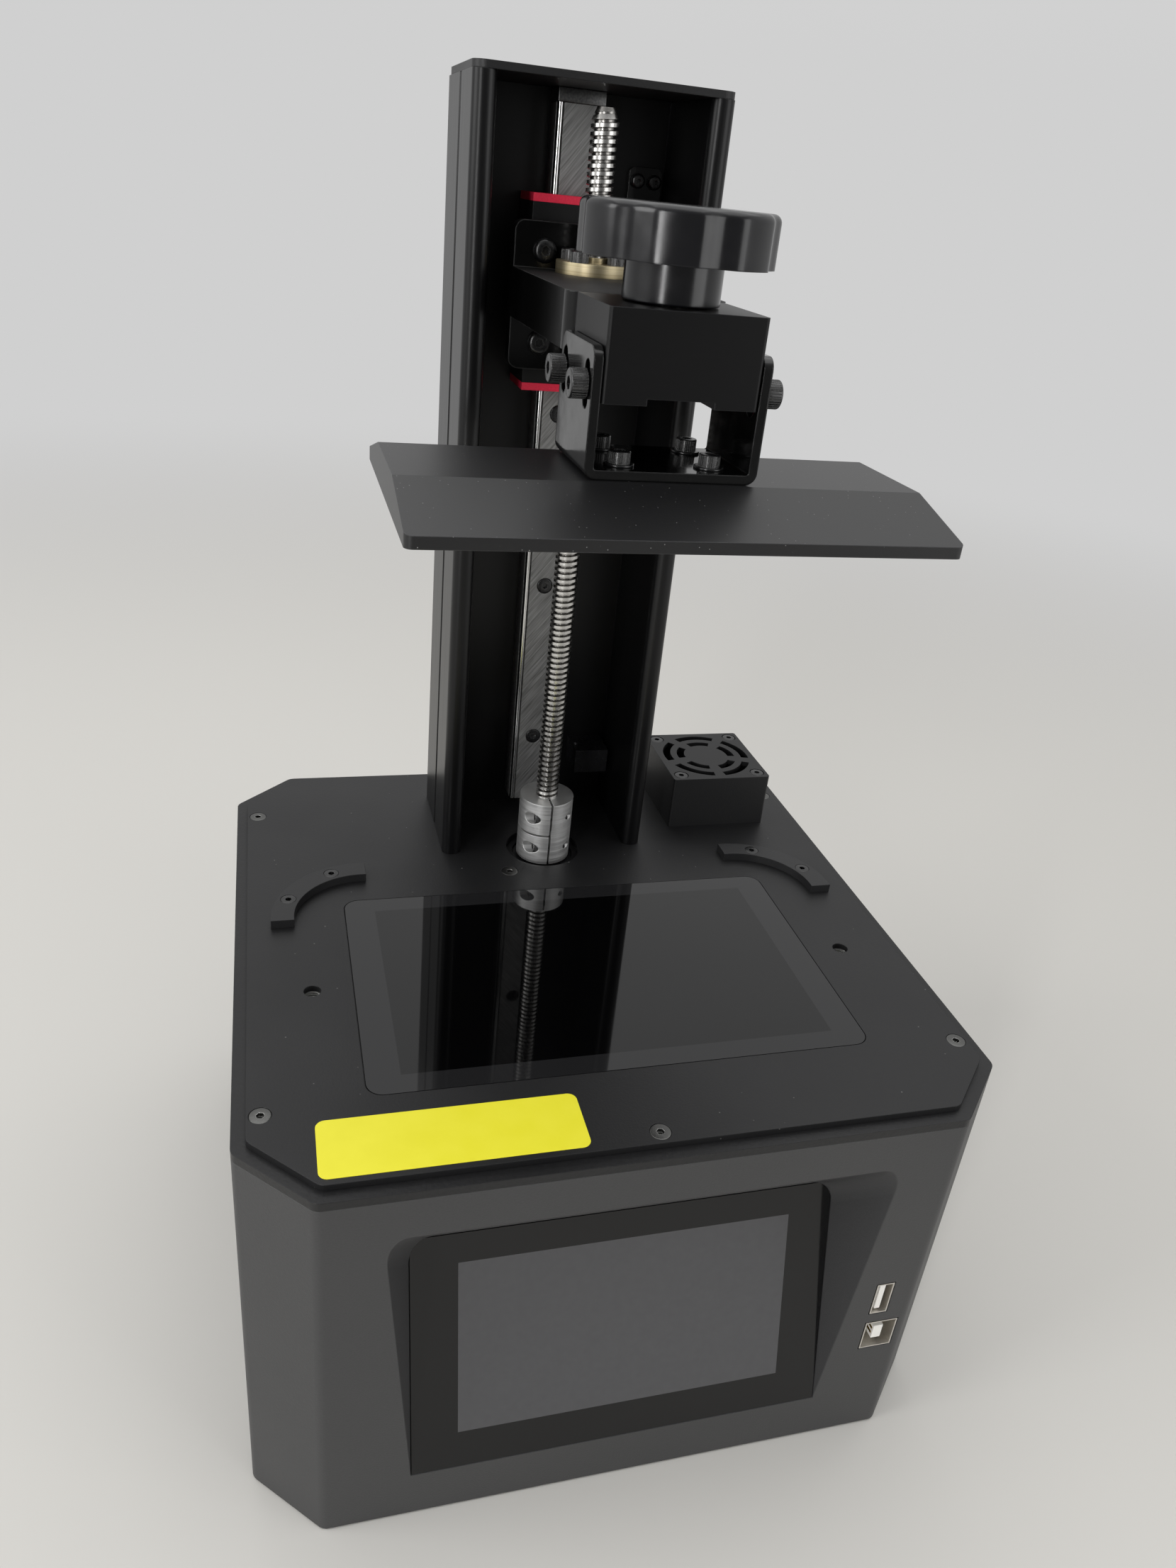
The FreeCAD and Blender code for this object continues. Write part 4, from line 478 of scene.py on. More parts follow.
# Main board and its bracket: an upright glass-epoxy board behind the front wall, screwed to a bent steel
# bracket. Green solder mask lies glossy over slightly raised copper tracks; the bracket is plain
# zinc-plated sheet.
track_mm = 4.2
solder_mask, tree, shader, place = new_finish("green_solder_mask", "#0d4024", roughness=0.3, ior=1.5)
upright = add_node(tree, "ShaderNodeMapping", {"Vector": place, "Rotation": (math.radians(90.0), 0.0, 0.6)})
tracks = add_node(tree, "ShaderNodeTexBrick", sockets={
    "Vector": upright.outputs[0], "Scale": 1.0 / (track_mm * MM),
    "Color1": srgb("#0c3a20"), "Color2": srgb("#0e4426"), "Mortar": srgb("#2b7a48"),
    "Mortar Size": 0.05, "Brick Width": 1.6, "Row Height": 0.5})
tree.links.new(tracks.outputs["Color"], shader.inputs["Base Color"])
relief = add_node(tree, "ShaderNodeBump", {"Height": tracks.outputs["Fac"], "Distance": 0.04 * MM})
tree.links.new(relief.outputs[0], shader.inputs["Normal"])
dress(solder_mask, "main_board")

spangle_mm = 6.0
zinc_sheet, tree, shader, place = new_finish("zinc_plated_sheet", "#a9acae", roughness=0.36, metallic=1.0)
grain = raise_grain(tree, shader, place, grain_mm=0.6, depth_mm=0.008, edge_mm=0.2)
spangle = add_node(tree, "ShaderNodeTexVoronoi", {"Vector": place, "Scale": 1.0 / (spangle_mm * MM)})
shade = add_node(tree, "ShaderNodeSeparateColor", {"Color": spangle.outputs["Color"]}).outputs[0]
vary(shader, shade, "#9c9fa1", "#b4b7b9")
vary(shader, grain, 0.3, 0.42)
dress(zinc_sheet, "board_bracket")


# Ports: two drawn shells of nickel-plated brass with a white moulded tongue, soldered to the main board.
# Nickel is bright and slightly warm; the tongue is dull white nylon with gilt contacts laid in its faces.
def inside(tree, place, **spans):
    """One where a place is within half a width of a middle along each axis given, and nought elsewhere."""
    shares = add_node(tree, "ShaderNodeSeparateXYZ", {0: place})
    mask = None
    for axis, (middle, half) in spans.items():
        within = add_node(tree, "ShaderNodeMath", operation="COMPARE",
                          sockets={0: shares.outputs[axis], 1: middle, 2: half}).outputs[0]
        if mask:
            within = add_node(tree, "ShaderNodeMath", {0: mask, 1: within}, operation="MULTIPLY").outputs[0]
        mask = within
    return mask


port_shell_mm = 0.55
scuff_mm = 0.8
port_metal, tree, shader, place = new_finish("nickel_shell_white_nylon", "#c9c6c0", roughness=0.24)
masks = []
for node in ("usb_a_port", "usb_b_port"):
    low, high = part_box(node)
    middle, reach = (low + high) / 2, (high - low) / 2
    shell = port_shell_mm * MM
    masks.append(inside(tree, place, X=(middle.x, reach.x - shell), Z=(middle.z, reach.z - shell)))
nylon = add_node(tree, "ShaderNodeMath", {0: masks[0], 1: masks[1]}, operation="MAXIMUM").outputs[0]
scuff = add_node(tree, "ShaderNodeTexNoise", {"Vector": place, "Scale": 1.0 / (scuff_mm * MM)}).outputs[0]
metal = add_node(tree, "ShaderNodeMix", data_type="RGBA",
                 sockets={0: scuff, 6: srgb("#d0ccc5"), 7: srgb("#e6e2db")}).outputs[2]
paint = add_node(tree, "ShaderNodeMix", {0: nylon, 6: metal, 7: srgb("#eceae5")}, data_type="RGBA").outputs[2]
tree.links.new(paint, shader.inputs["Base Color"])
bare = add_node(tree, "ShaderNodeMath", {0: 1.0, 1: nylon}, operation="SUBTRACT")
tree.links.new(bare.outputs[0], shader.inputs["Metallic"])
dull = add_node(tree, "ShaderNodeMapRange", {"Value": nylon, "To Min": 0.4, "To Max": 0.5})
tree.links.new(dull.outputs[0], shader.inputs["Roughness"])
dress(port_metal, "usb_a_port", "usb_b_port")


def contact_strips(name, node, tongue_low, tongue_high, pitch, count, both_sides):
    """Gilt strips in the faces of a port's tongue, each a thin bar with eased edges."""
    wide, thick, long_way = 1.0 * MM, 0.12 * MM, 7.5 * MM
    low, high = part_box(node)
    strip = start_piece("strip", bpy.ops.mesh.primitive_cube_add, size=1.0, scale=(thick, long_way, wide))
    pick(strip, "EDGE", lambda edge: abs(edge.verts[0].co.y - edge.verts[1].co.y) > long_way / 2)
    ease_picked(thick * 0.3, 2)
    faces = [tongue_high, tongue_low] if both_sides else [tongue_high]
    middle = (low.z + high.z) / 2
    places = [(face, low.y + 1.4 * MM + long_way / 2, middle + (step - (count - 1) / 2) * pitch)
              for face in faces for step in range(count)]
    return place_copies(strip, name, places)


gilt, tree, shader, place = new_finish("gilt_contact", "#c9a24e", roughness=0.25, metallic=1.0)
grain = raise_grain(tree, shader, place, grain_mm=0.3, depth_mm=0.004)
vary(shader, grain, "#b9923e", "#d4b061")
port_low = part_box("usb_a_port")[0]
tongue_a = (port_low.x + 1.7 * MM, port_low.x + 3.5 * MM)
piece = contact_strips("usb_a_contacts", "usb_a_port", *tongue_a, pitch=2.2 * MM, count=4, both_sides=False)
piece.data.materials.append(gilt)
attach(piece, "base")
port_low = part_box("usb_b_port")[0]
tongue_b = (port_low.x + 3.8 * MM, port_low.x + 7.0 * MM)
piece = contact_strips("usb_b_contacts", "usb_b_port", *tongue_b, pitch=2.0 * MM, count=2, both_sides=True)
piece.data.materials.append(gilt)
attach(piece, "base")

# Touch screen: a leaning pane of toughened glass, printed black round the edge on its back, with the
# display module glued behind it. The open middle is a shade paler than the print and just as glossy.
display_low, display_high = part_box("display_module")
glass_dust_mm = 2.4
touch_glass, tree, shader, place = new_finish("back_printed_glass", "#161617", roughness=0.06, ior=1.44)
open_middle, open_half = (display_low + display_high) / 2, (display_high - display_low) / 2
opened = inside(tree, place, X=(0.0, display_high.x), Z=(open_middle.z, open_half.z))
haze = add_node(tree, "ShaderNodeTexNoise",
                {"Vector": place, "Scale": 1.0 / (glass_dust_mm * MM), "Detail": 4.0}).outputs[0]
cell = add_node(tree, "ShaderNodeMix", data_type="RGBA",
                sockets={0: haze, 6: srgb("#49494b"), 7: srgb("#4f4f51")}).outputs[2]
paint = add_node(tree, "ShaderNodeMix", {0: opened, 6: srgb("#0a0a0b"), 7: cell}, data_type="RGBA").outputs[2]
tree.links.new(paint, shader.inputs["Base Color"])
vary(shader, haze, 0.05, 0.1)
dress(touch_glass, "touch_screen")

display_back, tree, shader, place = new_finish("black_painted_frame", "#141415", roughness=0.45, ior=1.5)
grain = raise_grain(tree, shader, place, grain_mm=0.8, depth_mm=0.02, edge_mm=0.2)
vary(shader, grain, "#111112", "#19191a")
dress(display_back, "display_module")

# Lamp: a board of small ultraviolet lamps on a finned aluminium heat sink, under a mirror-lined funnel. The
# board is white solder mask with pale lamp bodies, the sink is extruded, the funnel is folded bright film.
lamp_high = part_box("lamp_board")[1]
lamp_tall = 1.1 * MM
speckle_mm = 3.0
white_mask, tree, shader, place = new_finish("white_solder_mask", "#d8d8d4", roughness=0.35, ior=1.5)
raised = add_node(tree, "ShaderNodeSeparateXYZ", {0: place}).outputs["Z"]
lamp_body = add_node(tree, "ShaderNodeMath", {0: raised, 1: lamp_high.z - lamp_tall},
                     operation="GREATER_THAN")
speckle = add_node(tree, "ShaderNodeTexNoise", {"Vector": place, "Scale": 1.0 / (speckle_mm * MM)}).outputs[0]
mask_coat = add_node(tree, "ShaderNodeMix", data_type="RGBA",
                     sockets={0: speckle, 6: srgb("#cfcfca"), 7: srgb("#e0e0dc")}).outputs[2]
paint = add_node(tree, "ShaderNodeMix", data_type="RGBA",
                 sockets={0: lamp_body.outputs[0], 6: mask_coat, 7: srgb("#cbc49a")}).outputs[2]
tree.links.new(paint, shader.inputs["Base Color"])
dress(white_mask, "lamp_board")

extrude_line_mm = 0.35
plain_aluminium, tree, shader, place = new_finish("extruded_aluminium", "#b9bbbd", roughness=0.38,
                                                  metallic=1.0)
drawn = add_node(tree, "ShaderNodeMapping", {"Vector": place, "Scale": (1.0, 0.01, 1.0)})
lines = raise_grain(tree, shader, drawn.outputs[0], grain_mm=extrude_line_mm, depth_mm=0.008, edge_mm=0.15)
vary(shader, lines, "#aeb0b2", "#c4c6c8")
dress(plain_aluminium, "heat_sink")

mirror_film, tree, shader, place = new_finish("mirror_film", "#d8dadb", roughness=0.09, metallic=1.0)
ripple = raise_grain(tree, shader, place, grain_mm=9.0, depth_mm=0.05)
vary(shader, ripple, 0.06, 0.14)
dress(mirror_film, "lamp_reflector")

# Fans: two square axial fans, one behind the back grille and one under the filter box.
# Frame and rotor are glass-filled black plastic: dull on the frame, a little shinier on the blades.
fan_plastic, tree, shader, place = new_finish("glass_filled_plastic", "#1b1b1c", roughness=0.46, ior=1.55)
grain = raise_grain(tree, shader, place, grain_mm=0.5, depth_mm=0.03, edge_mm=0.3)
vary(shader, grain, "#171718", "#222223")
dress(fan_plastic, "base_fan_frame", "filter_fan_frame")
blade_plastic, tree, shader, place = new_finish("smooth_blade_plastic", "#18181a", roughness=0.3, ior=1.55)
grain = raise_grain(tree, shader, place, grain_mm=3.0, depth_mm=0.03, edge_mm=0.25)
vary(shader, grain, "#151517", "#1d1d1f")
dress(blade_plastic, "base_fan_rotor", "filter_fan_rotor")

# Power inlet and switch: a round jack with a steel pin, and a snap-in switch with a rocker, in the back
# panel. Both are smooth black nylon; the switch is the shinier one, in patches where fingers rub it.
inlet_low, inlet_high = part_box("power_inlet")
pin_radius = 1.15 * MM
inlet_plastic, tree, shader, place = new_finish("black_nylon_steel_pin", "#171718", roughness=0.34)
centre = (inlet_low + inlet_high) / 2
shifted = add_node(tree, "ShaderNodeVectorMath", {0: place, 1: centre}, operation="SUBTRACT")
across = add_node(tree, "ShaderNodeVectorMath", {0: shifted.outputs[0], 1: (1.0, 0.0, 1.0)},
                  operation="MULTIPLY")
radius = add_node(tree, "ShaderNodeVectorMath", {0: across.outputs[0]}, operation="LENGTH")
pin = add_node(tree, "ShaderNodeMath", {0: radius.outputs["Value"], 1: pin_radius},
               operation="LESS_THAN").outputs[0]
grain = raise_grain(tree, shader, place, grain_mm=0.6, depth_mm=0.012, edge_mm=0.25)
skin = add_node(tree, "ShaderNodeMix", data_type="RGBA",
                sockets={0: grain, 6: srgb("#141415"), 7: srgb("#1d1d1f")}).outputs[2]
paint = add_node(tree, "ShaderNodeMix", {0: pin, 6: skin, 7: srgb("#c4c2bc")}, data_type="RGBA").outputs[2]
tree.links.new(paint, shader.inputs["Base Color"])
tree.links.new(pin, shader.inputs["Metallic"])
dress(inlet_plastic, "power_inlet")

nylon_patch_mm = 7.0
nylon_black, tree, shader, place = new_finish("smooth_black_nylon", "#161617", roughness=0.28, ior=1.53)
grain = raise_grain(tree, shader, place, grain_mm=0.7, depth_mm=0.01, edge_mm=0.35)
vary(shader, grain, "#131314", "#1b1b1d")
patch = add_node(tree, "ShaderNodeTexNoise",
                 {"Vector": place, "Scale": 1.0 / (nylon_patch_mm * MM)}).outputs[0]
vary(shader, patch, 0.22, 0.34)
dress(nylon_black, "switch_frame", "power_rocker")

# Deck plate: a thick steel plate that closes the housing from above and carries the column and the motor.
# It has the same baked powder coat as the bottom cover, and shows as a ledge round the top plate.
dress(powder_coat, "deck_plate")

# Motor: a square stepping motor hung under the deck by four screws, its shaft up through the deck.
# The end bells are painted black, and the stack of steel laminations between them is bare and finely ribbed.
motor_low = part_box("z_motor")[0]
bell_mm = 9.0
half_motor = 19.0 * MM
lamination_mm = 0.5
motor_finish, tree, shader, place = new_finish("painted_bells_bare_laminations", "#2a2a2b", roughness=0.4)
stack = inside(tree, place, Z=(motor_low.z + half_motor, half_motor - bell_mm * MM))
sheets = add_node(tree, "ShaderNodeTexWave", bands_direction="Z",
                  sockets={"Vector": place, "Scale": math.pi / 10.0 / (lamination_mm * MM)})
steel = add_node(tree, "ShaderNodeMix", data_type="RGBA",
                 sockets={0: sheets.outputs["Fac"], 6: srgb("#6c6c6b"), 7: srgb("#a3a29f")}).outputs[2]
paint = add_node(tree, "ShaderNodeMix", {0: stack, 6: srgb("#1a1a1b"), 7: steel}, data_type="RGBA").outputs[2]
tree.links.new(paint, shader.inputs["Base Color"])
tree.links.new(stack, shader.inputs["Metallic"])
relief = add_node(tree, "ShaderNodeBump", {"Height": sheets.outputs["Fac"], "Distance": 0.03 * MM})
tree.links.new(relief.outputs[0], shader.inputs["Normal"])
dress(motor_finish, "z_motor")

ground_steel, tree, shader, place = new_finish("ground_shaft_steel", "#bdbcb8", roughness=0.22, metallic=1.0)
rings = add_node(tree, "ShaderNodeMapping", {"Vector": place, "Scale": (0.05, 0.05, 1.0)})
grind = raise_grain(tree, shader, rings.outputs[0], grain_mm=0.25, depth_mm=0.004)
vary(shader, grind, "#b0afab", "#cac9c5")
dress(ground_steel, "motor_shaft", "clamp_stud")

fit_screws("motor_flat_screws", "motor_screws", "base", (0, 0, 1),
           radius_mm=2.75, head_mm=1.35, socket_mm=2.0, ease_mm=0.3, shank_mm=1.5)


# Top plate: a thin steel plate with cut corners, a window for the masking screen and holes for the vat's
# screws. Its powder coat is finer than the deck's; a little dust lies on it, and the cut edges catch the
# light.
def motes(tree, place, apart_mm, rim, core):
    """Specks of dust, one to a cell of a given size: nought between them, and one in a speck's core."""
    cells = add_node(tree, "ShaderNodeTexVoronoi", {"Vector": place, "Scale": 1.0 / (apart_mm * MM)})
    return add_node(tree, "ShaderNodeMapRange", sockets={
        "Value": cells.outputs["Distance"], "From Min": rim, "From Max": core}).outputs[0]


plate_peel_mm = 0.6
plate_dust_mm = 5.5
fine_powder, tree, shader, place = new_finish("fine_powder_coated_steel", "#19191a", roughness=0.42, ior=1.42)
peel = raise_grain(tree, shader, place, grain_mm=plate_peel_mm, depth_mm=0.035, edge_mm=0.35)
skin = add_node(tree, "ShaderNodeMix", data_type="RGBA",
                sockets={0: peel, 6: srgb("#161617"), 7: srgb("#1c1c1d")}).outputs[2]
mote = motes(tree, place, plate_dust_mm, rim=0.05, core=0.025)
dusty = add_node(tree, "ShaderNodeMix", {0: mote, 6: skin, 7: srgb("#6a6a68")}, data_type="RGBA").outputs[2]
tree.links.new(dusty, shader.inputs["Base Color"])
patch = add_node(tree, "ShaderNodeTexNoise",
                 {"Vector": place, "Scale": 1.0 / (powder_patch_mm * MM)}).outputs[0]
vary(shader, patch, 0.38, 0.48)
dress(fine_powder, "top_plate")

# Top plate screws: countersunk stainless screws whose flat heads lie flush in the plate.
# The turned head is dull grey with a painted highlight, a bright ring at its rim; the broached socket goes
# dark.
stainless, tree, shader, place = new_finish("turned_stainless", "#6f6f6e", roughness=0.34, metallic=1.0)
grain = raise_grain(tree, shader, place, grain_mm=0.3, depth_mm=0.006, edge_mm=0.15)
face = add_node(tree, "ShaderNodeMix", data_type="RGBA",
                sockets={0: grain, 6: srgb("#565655"), 7: srgb("#6e6e6c")}).outputs[2]
# Painted highlight: a bright ring along the rim.
rim = add_node(tree, "ShaderNodeMix", data_type="RGBA",
               sockets={0: edge_mask(tree, 0.3), 6: face, 7: srgb("#c9c9c7")}).outputs[2]
tree.links.new(rim, shader.inputs["Base Color"])
fit_screws("plate_flat_screws", "top_plate_screws", "base", (0, 0, 1), finish=stainless, slot="stainless",
           radius_mm=3.0, head_mm=2.0, socket_mm=2.0, ease_mm=0.35, shank_mm=1.5)

# Sticker: a plain rectangle of yellow vinyl with rounded corners, pressed on the front of the top plate.
# Vinyl film is smooth and bright, with the faintest ripple where it was rubbed down.
sticker_size = (70.0 * MM, 20.0 * MM, 0.15 * MM)
sticker_middle = (-54.4 * MM, -94.9 * MM)
sticker_corner = 2.5 * MM
plate_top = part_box("top_plate")[1].z
sticker = start_piece("yellow_sticker", bpy.ops.mesh.primitive_cube_add, size=1.0, scale=sticker_size,
                      location=(*sticker_middle, plate_top + sticker_size[2] / 2))
pick(sticker, "EDGE", lambda edge: abs(edge.verts[0].co.z - edge.verts[1].co.z) > sticker_size[2] / 2)
ease_picked(sticker_corner, 10)
pick(sticker, "EDGE", lambda edge: all(c.co.z > plate_top + sticker_size[2] / 2 for c in edge.verts))
ease_picked(sticker_size[2] * 0.4, 2)
vinyl, tree, shader, place = new_finish("yellow_vinyl_film", "#f8f038", roughness=0.4, ior=1.45)
ripple = raise_grain(tree, shader, place, grain_mm=7.0, depth_mm=0.01)
vary(shader, ripple, "#f6ee34", "#faf23c")
vary(shader, ripple, 0.37, 0.43)
sticker.data.materials.append(vinyl)
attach(sticker, "base")

# Masking screen: a liquid crystal pane that lies flush in the top plate's window.
# Its glass is glossy; a printed border surrounds the open cells, which are darker under a polarising film.
cells_half = (65.5 * MM, 40.0 * MM)
cells_middle = (0.0, -30.6 * MM)
lcd_haze_mm = 30.0
lcd_glass, tree, shader, place = new_finish("polarised_glass", "#040405", roughness=0.03, ior=1.52)
opened = inside(tree, place, X=(cells_middle[0], cells_half[0]), Y=(cells_middle[1], cells_half[1]))
haze = add_node(tree, "ShaderNodeTexNoise",
                {"Vector": place, "Scale": 1.0 / (lcd_haze_mm * MM), "Detail": 5.0}).outputs[0]
film = add_node(tree, "ShaderNodeMix", data_type="RGBA",
                sockets={0: haze, 6: srgb("#030303"), 7: srgb("#060607")}).outputs[2]
paint = add_node(tree, "ShaderNodeMix", {0: opened, 6: srgb("#222223"), 7: film}, data_type="RGBA").outputs[2]
tree.links.new(paint, shader.inputs["Base Color"])
vary(shader, haze, 0.02, 0.05)
dress(lcd_glass, "masking_lcd")


# Vat inserts: two threaded steel bushes pressed into the deck, for the thumb screws that hold the vat.
# Turned and tapped steel, knurled outside to grip the deck, with a fine bright thread in a dark bore.
def rolled_thread(crest, root, lead, low, high, steps):
    """A right-hand thread round Z: its profile drawn once, wound up the rod and cut square at both ends."""
    rise = (crest - root) * 0.27
    top = lead * 0.48
    bottom = lead - top - 2 * rise
    profile = start_piece("thread", bpy.ops.mesh.primitive_plane_add, size=root * 0.1,
                          location=(root, 0.0, low - 2 * lead))
    bpy.ops.object.mode_set(mode="EDIT")
    bpy.ops.mesh.select_mode(type="VERT")
    bpy.ops.mesh.select_all(action="SELECT")
    bpy.ops.mesh.merge(type="CENTER")
    for move in ((0.0, bottom), (crest - root, rise), (0.0, top), (root - crest, rise)):
        bpy.ops.mesh.extrude_region_move(TRANSFORM_OT_translate={"value": (move[0], 0.0, move[1])})
    bpy.ops.object.mode_set(mode="OBJECT")
    winding = profile.modifiers.new("winding", "SCREW")
    winding.axis = "Z"
    winding.angle = 2 * math.pi
    winding.screw_offset = lead
    winding.iterations = math.ceil((high - low) / lead) + 4
    winding.steps = winding.render_steps = steps
    winding.use_merge_vertices = True
    winding.merge_threshold = lead * 0.001
    bpy.ops.object.modifier_apply(modifier="winding")
    bpy.ops.object.mode_set(mode="EDIT")
    bpy.ops.mesh.select_all(action="SELECT")
    bpy.ops.mesh.remove_doubles(threshold=lead * 0.001)
    for level, below in ((low, True), (high, False)):
        bpy.ops.mesh.select_all(action="SELECT")
        bpy.ops.mesh.bisect(plane_co=(0.0, 0.0, level), plane_no=(0.0, 0.0, 1.0), use_fill=True,
                            threshold=1e-7, clear_inner=below, clear_outer=not below)
    bpy.ops.mesh.select_all(action="SELECT")
    bpy.ops.mesh.normals_make_consistent(inside=False)
    bpy.ops.object.mode_set(mode="OBJECT")
    return profile


insert_radius = 4.5 * MM
bush_sides = 48
insert_low, insert_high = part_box("vat_inserts")
insert_length = insert_high.z - insert_low.z
bush = start_piece("bush", bpy.ops.mesh.primitive_cylinder_add, vertices=bush_sides, radius=insert_radius,
                   depth=insert_length)
pick(bush, "FACE", lambda face: abs(face.normal.z) < 0.5 and every_other(face, bush_sides))
bpy.ops.mesh.inset(use_individual=True, thickness=0.06 * MM, depth=-0.15 * MM)
bpy.ops.object.mode_set(mode="OBJECT")
tap = rolled_thread(crest=2.95 * MM, root=2.5 * MM, lead=0.8 * MM, low=-insert_length, high=insert_length,
                    steps=32)
cut_away(bush, tap)
places = [(low + high) / 2 for low, high in solid_boxes("vat_inserts")]
piece = place_copies(bush, "threaded_vat_bushes", places)
tapped_steel, tree, shader, place = new_finish("tapped_zinc_plated_steel", "#cfcfcc", roughness=0.45,
                                               metallic=1.0)
grain = raise_grain(tree, shader, place, grain_mm=0.3, depth_mm=0.01, edge_mm=0.1)
vary(shader, grain, "#c2c2bf", "#dcdcd9")
piece.data.materials.append(tapped_steel)
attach(piece, "base")
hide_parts("vat_inserts")

# Vat guides: two curved black mouldings that the vat slides between, each held by two flat-headed screws.
# Fine-grained plastic, as dull as the plate; the screws are blackened and sit flush with the guide.
guide_plastic, tree, shader, place = new_finish("fine_grained_black_plastic", "#1b1b1c", roughness=0.46,
                                                ior=1.45)
grain = raise_grain(tree, shader, place, grain_mm=0.4, depth_mm=0.03, edge_mm=0.3)
vary(shader, grain, "#171718", "#202021")
dress(guide_plastic, "vat_guide_left", "vat_guide_right")
fit_screws("guide_flat_screws", "vat_guide_screws", "base", (0, 0, 1),
           radius_mm=2.6, head_mm=3.0, socket_mm=2.0, ease_mm=0.3, shank_mm=1.5)

# Filter box: a square moulded box with a round slotted grille, held on the plate by four long sunk screws.
# Grained black plastic, duller and darker than the guides', with a highlight painted pale on its edges.
box_plastic, tree, shader, place = new_finish("dull_black_plastic", "#161617", roughness=0.5, ior=1.42)
grain = raise_grain(tree, shader, place, grain_mm=0.45, depth_mm=0.03, edge_mm=0.35)
skin = add_node(tree, "ShaderNodeMix", data_type="RGBA",
                sockets={0: grain, 6: srgb("#131314"), 7: srgb("#19191a")}).outputs[2]
# Painted highlight: the edges are painted a little paler.
paint_edge_highlight_and_wear(tree, shader, skin, reach_mm=0.5, share=0.4, bare="#2c2c2d")
dress(box_plastic, "filter_box")
carbon_pore_mm = 1.3
carbon_foam, tree, shader, place = new_finish("carbon_foam", "#121212", roughness=0.95, ior=1.4)
pores = add_node(tree, "ShaderNodeTexVoronoi", {"Vector": place, "Scale": 1.0 / (carbon_pore_mm * MM)})
vary(shader, pores.outputs["Distance"], "#070707", "#1d1d1d")
relief = add_node(tree, "ShaderNodeBump", {"Height": pores.outputs["Distance"], "Distance": 0.5 * MM})
tree.links.new(relief.outputs[0], shader.inputs["Normal"])
dress(carbon_foam, "carbon_pad")
fit_screws("filter_long_screws", "filter_screws", "base", (0, 0, 1),
           radius_mm=2.75, head_mm=1.6, socket_mm=2.0, ease_mm=0.5, shank_mm=1.5)

# Column: an open channel of extruded aluminium with a shallow groove in each side, screwed up through the
# deck. Black anodising keeps the faint upright lines of the extrusion and shines softly, brighter along its
# corners.
extrusion_line_mm = 0.5
anodised, tree, shader, place = new_finish("black_anodised_aluminium", "#070708", roughness=0.33, ior=1.38)
upright = add_node(tree, "ShaderNodeMapping", {"Vector": place, "Scale": (1.0, 1.0, 0.006)})
lines = raise_grain(tree, shader, upright.outputs[0], grain_mm=extrusion_line_mm, depth_mm=0.0008,
                    edge_mm=0.3)
vary(shader, lines, "#060607", "#080809")
vary(shader, lines, 0.31, 0.35)
dress(anodised, "column")
fit_screws("column_cap_screws", "column_screws", "base", (0, 0, -1),
           radius_mm=2.75, head_mm=3.0, socket_mm=2.5, ease_mm=0.35, shank_mm=1.5, ridges=True)

# Column cap: a thin plate on the column's top, with the same fine powder coat as the top plate.
# It is satin, so the rail's end hardly shows in its underside.
dress(fine_powder, "column_cap")

# Linear rail: a hardened steel rail with two polished rods let into its front corners, screwed to the web.
# Its face is ground on the slant, which leaves fine bright and dark strokes; the rods mirror the room, and so
# does the small end block that stops them under the cap.
stroke_mm = 0.5
stroke_turn = math.radians(-38.0)
rail_steel, tree, shader, place = new_finish("slant_ground_steel", "#929291", roughness=0.5, metallic=1.0)
slanted = add_node(tree, "ShaderNodeMapping", {"Vector": place, "Rotation": (0.0, stroke_turn, 0.0)})
drawn = add_node(tree, "ShaderNodeMapping", {"Vector": slanted.outputs[0], "Scale": (1.0, 1.0, 0.04)})
strokes = raise_grain(tree, shader, drawn.outputs[0], grain_mm=stroke_mm, depth_mm=0.012, edge_mm=0.25)
vary(shader, strokes, "#787877", "#acacab")
vary(shader, strokes, 0.44, 0.6)
dress(rail_steel, "linear_rail")
rod_streak_mm = 0.3
rod_steel, tree, shader, place = new_finish("polished_rod_steel", "#d2d2d0", roughness=0.12, metallic=1.0)
drawn = add_node(tree, "ShaderNodeMapping", {"Vector": place, "Scale": (1.0, 1.0, 0.02)})
streaks = add_node(tree, "ShaderNodeTexNoise",
                   {"Vector": drawn.outputs[0], "Scale": 1.0 / (rod_streak_mm * MM)}).outputs[0]
vary(shader, streaks, "#c6c6c4", "#dededc")
vary(shader, streaks, 0.1, 0.16)
dress(rod_steel, "rail_rods")
rail_low, rail_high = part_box("linear_rail")
end_size = (rail_high.x - rail_low.x, rail_high.y - rail_low.y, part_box("column_cap")[0].z - rail_high.z)
end_middle = ((rail_low.x + rail_high.x) / 2, (rail_low.y + rail_high.y) / 2, rail_high.z + end_size[2] / 2)
piece = start_piece("rail_end_block", bpy.ops.mesh.primitive_cube_add, size=1.0, scale=end_size,
                    location=end_middle)
pick(piece, "EDGE", lambda edge: True)
ease_picked(0.3 * MM, 3)
bpy.ops.object.shade_smooth_by_angle(angle=math.radians(35.0))
end_steel, tree, shader, place = new_finish("lapped_steel", "#6c6c6c", roughness=0.3, metallic=1.0)
grain = raise_grain(tree, shader, place, grain_mm=0.6, depth_mm=0.003, edge_mm=0.3)
vary(shader, grain, "#5c5c5d", "#767675")
piece.data.materials.append(end_steel)
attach(piece, "base")
fit_screws("rail_cap_screws", "rail_screws", "base", (0, -1, 0),
           radius_mm=2.7, head_mm=1.6, socket_mm=2.0, ease_mm=0.3, shank_mm=1.5, ridges=True)

